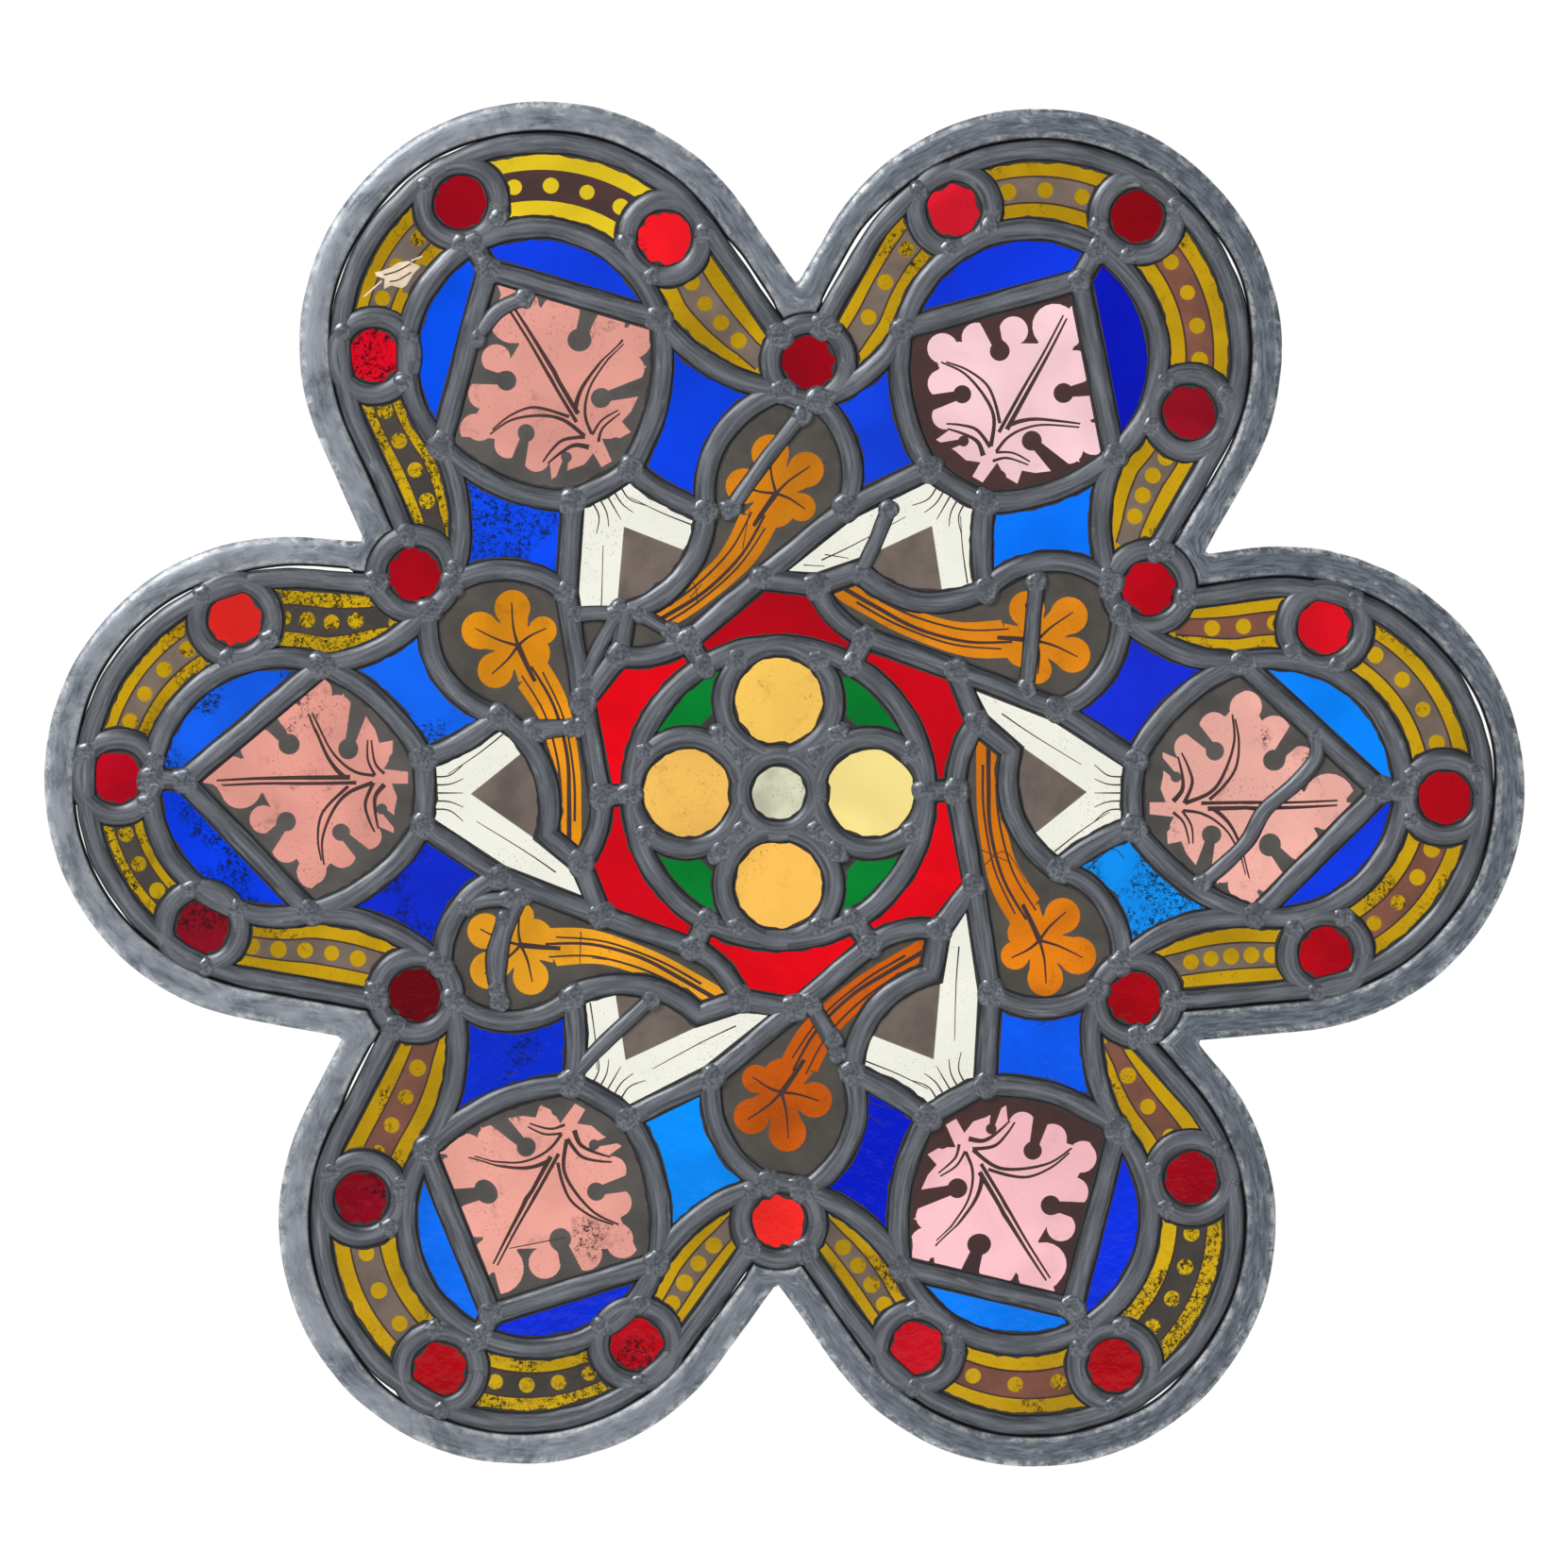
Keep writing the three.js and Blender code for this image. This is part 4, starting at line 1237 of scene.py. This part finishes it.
# Leads that mended cracked panes, in photo pixels of one sector's drawing
MENDING = {
    "right": (
        (568 + 62j, 568 + 37j, 547 + 10j, 515 - 17j, 497 - 49j, 475 - 72j, 447 - 97j),
        (274 + 224j, 268 + 170j, 262 + 110j),
    ),
    "upper_right": (
        (243 + 42j, 280 + 44j, 318 + 49j), (222 - 174j, 276 - 150j, 329 - 124j),
    ),
    "upper_left": (
        (577 + 37j, 590 + 4j, 588 - 29j), (250 + 55j, 262 + 74j, 272 + 94j), (204 + 14j, 240 + 33j),
        (204 + 120j, 230 + 84j, 252 + 48j), (286 - 106j, 312 - 164j, 334 - 222j), (170 + 155j, 184 + 192j),
    ),
    "left": (
        (208 - 70j, 262 - 70j), (295 + 222j, 302 + 174j, 290 + 134j),
    ),
    "lower_left": (
        (256 - 8j, 316 - 26j, 378 - 42j), (229 - 181j, 275 - 176j, 329 - 154j),
        (240 - 190j, 252 - 210j, 270 - 228j), (177 + 144j, 196 + 180j),
    ),
    "lower_right": (
        (206 - 81j, 270 - 84j),
    ),
}
mending = Lead()
mend_ends = []
for k, s in enumerate(SECTORS):
    for n, points in enumerate(MENDING[s.name]):
        run = smooth(turned(points, k), 8)
        mending.sweep(run, False, 0.74, 90 + k + n)
        mend_ends += [(run[0], [unit(run[1] - run[0])]), (run[-1], [unit(run[-2] - run[-1])])]
mending.build("mending_leads", LEAD)

# Solder where leads meet
JOIN_REACH = 5  # ends of leads nearer than this share a lump
RING_LUMPS = ((-34, 138, -152), (38, 150, -142))  # degrees round every other jewel's came
CENTRE_LUMPS = ((57.5, 17), (57.5, 73), (21.7, 45), (33.5, 45))  # radius and degrees, four times over
joins = {}
for path in PATHS + BORDERS:
    if abs(path[0]) < RING - 1 and abs(path[-1]) < RING - 1:
        continue
    for at, inward in ((path[0], path[1]), (path[-1], path[-2])):
        for known in joins:
            if abs(known - at) < JOIN_REACH:
                joins[known].append(unit(inward - at))
                break
        else:
            joins[at] = [unit(inward - at)]
solder = Lead()
for i, (at, ways) in enumerate(joins.items()):
    solder.blob(at, ways, 6.1 + 1.0 * wobble(at, 0.2, 3), i * 0.7)
    solder.blob(at, ways, 5.6 + 1.2 * wobble(at, 0.2, 8), i * 0.9, behind=True)
for k, s in enumerate(SECTORS):
    for n, at in enumerate((*s.jewels, s.cusp)):
        out = unit(at - s.ring) if n < 3 else unit(at)
        for m, angle in enumerate(RING_LUMPS[(k + n) % 2]):
            way = out * polar(1, angle + 12 * wobble(at, 0.4, m))
            solder.blob(at + way * (JEWEL_RING + 0.6), [1j * way], 4.9, 300 + 4 * n + m + k)
for i, (at, ways) in enumerate(mend_ends):
    solder.blob(at, ways, 4.8, 60 + i * 0.7, CROWN_Y - 0.3)
for i in range(4):
    for r, angle in CENTRE_LUMPS:
        way = polar(1, 90 * i + angle)
        solder.blob(r * way, [way * 1j] if r > 50 else [way], 5.6, 180 + 4 * i + r)
solder.build("solder_joints", SOLDER, sharp=False)

# The wide edge came: a rounded face between the outline and the leadwork, and a flat back
FACE = ((0.0, EDGE_SIDE_Y), (0.03, -2.6), (0.1, -3.5), (0.25, -4.15), (0.42, -4.3), (0.58, -4.2),
        (0.76, -3.8), (0.88, -3.3), (0.96, -2.5), (1.0, EDGE_SIDE_Y))
NICK = 0.22  # share of a straight run beside a notch that lies over the ring of its jewel
WIDEST_SLIT = 1.5

rails = []
for k, s in enumerate(SECTORS):
    prev = SECTORS[k - 1]
    out_in, out_arc, out_out = edge(k, RIM_SEEN)
    in_in, in_arc, in_out = edge(k, RIM_IN)
    start = max(crossings(in_in, arc(prev.cusp, CUSP_LEAD, 1)), key=abs)
    end = max(crossings(in_out, arc(s.cusp, CUSP_LEAD, 1)), key=abs)
    low = prev.cusp + unit(prev.notch - prev.cusp) * CUSP_LEAD
    high = s.cusp + unit(s.notch - s.cusp) * CUSP_LEAD
    bend_in = arc(prev.cusp, CUSP_LEAD, 1, low, start)
    bend_out = arc(s.cusp, CUSP_LEAD, 1, end, high)
    nick_in = out_in.a + (out_in.b - out_in.a) * NICK
    nick_out = out_out.b + (out_out.a - out_out.b) * NICK
    for outer_side, inner_side, count in (
        (lead(out_in.a, nick_in), bend_in, 8), (lead(nick_in, out_in.b), lead(start, in_in.b), 20),
        (out_arc, in_arc, 110), (lead(out_out.a, nick_out), lead(in_out.a, end), 20),
        (lead(nick_out, out_out.b), bend_out, 8),
    ):
        for p, q in zip(even(path_of(outer_side), count), even(path_of(inner_side), count)):
            across = unit(q - p)
            worn_in = 0.35 * (1 + wobble(p, 0.05, 21))  # a rim knocked a little inwards
            slit = max(0, 4.5 * wobble(q, 0.016, 33) - 0.2)  # where the two cames have parted
            far = min(abs(q - t.cusp) for t in SECTORS) > CUSP_LEAD + 6
            rails.append((p + across * worn_in, q - across * (min(WIDEST_SLIT, slit) if far else 0)))

border = Lead()
along = 0
for i, (p, q) in enumerate(rails):
    along += abs(p - rails[i - 1][0]) if i else 0
    for share, y in FACE:
        at = p + (q - p) * share
        dent = 0.16 * wobble(at, 0.12, 3) + 0.1 * wobble(at, 0.45, 9)
        depth = max(y + dent, EDGE_FRONT_Y) if 0 < share < 1 else y
        border.add(at, depth, share * EDGE_WIDTH, along)
    border.add(q, EDGE_BACK_Y, 0.8 * EDGE_WIDTH, along)
    border.add(p, EDGE_BACK_Y, 0, along)
m = len(FACE) + 2
n = len(rails)
for i in range(n):
    a = i * m
    b = (i + 1) % n * m
    for q in range(m):
        r = (q + 1) % m
        border.faces.append((a + q, b + q, b + r, a + r))
border.build("border_came", EDGE_LEAD, "edge_lead")


# Stage, light and camera

FLOOR_Z = -0.34
floor_paint, _, floor_shader = material("floor", 0.0, 0.9)
floor_shader.inputs["Base Color"].default_value = (0.86, 0.86, 0.86, 1)
floor_corners = [(x, y, FLOOR_Z) for x, y in ((-6, -6), (6, -6), (6, 1), (-6, 1))]
mesh_object("floor", floor_corners, [(0, 1, 2, 3)], [floor_paint])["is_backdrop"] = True

# The studio is bright behind the window and dimmer in front of it
sky = bpy.data.worlds.new("studio")
sky.use_nodes = True
tree = sky.node_tree
behind = band(tree, part_of(tree, place_in(tree, "Generated"), "Y"), -0.1, 0.6)
background = tree.nodes["Background"]
tree.links.new(mix(tree, behind, (0.17, 0.175, 0.19), (1.0, 1.0, 1.0)), background.inputs["Color"])
background.inputs["Strength"].default_value = 1.06
bpy.context.scene.world = sky


def soft_light(name, at, target, size, power):
    light = bpy.data.lights.new(name, "AREA")
    light.size = size
    light.energy = power
    obj = bpy.data.objects.new(name, light)
    obj.location = at
    obj.rotation_euler = (Vector(target) - Vector(at)).to_track_quat("-Z", "Y").to_euler()
    bpy.context.collection.objects.link(obj)


middle = (0, 0, MIDDLE_Z * MM)
soft_light("key", (-1.3, -1.4, 1.8), middle, 0.45, 60)
soft_light("fill", (1.4, -1.5, 0.3), middle, 1.2, 7)
soft_light("rear", (0.6, 1.8, 1.4), middle, 1.2, 10)

camera = bpy.data.cameras.new("camera")
camera.sensor_width = 36
distance = 4.0
frame_width = PHOTO_SIZE * PX * MM
camera.lens = camera.sensor_width * distance / frame_width
view = bpy.data.objects.new("camera", camera)
aside = (PHOTO_SIZE / 2 - PHOTO_MIDDLE[0]) * PX
above = (PHOTO_MIDDLE[1] - PHOTO_SIZE / 2) * PX
view.location = (aside * MM, -distance, (MIDDLE_Z + above) * MM)
view.rotation_euler = (math.radians(90), 0, 0)
bpy.context.collection.objects.link(view)
bpy.context.scene.camera = view
bpy.context.scene.view_settings.view_transform = "Standard"

low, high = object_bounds()
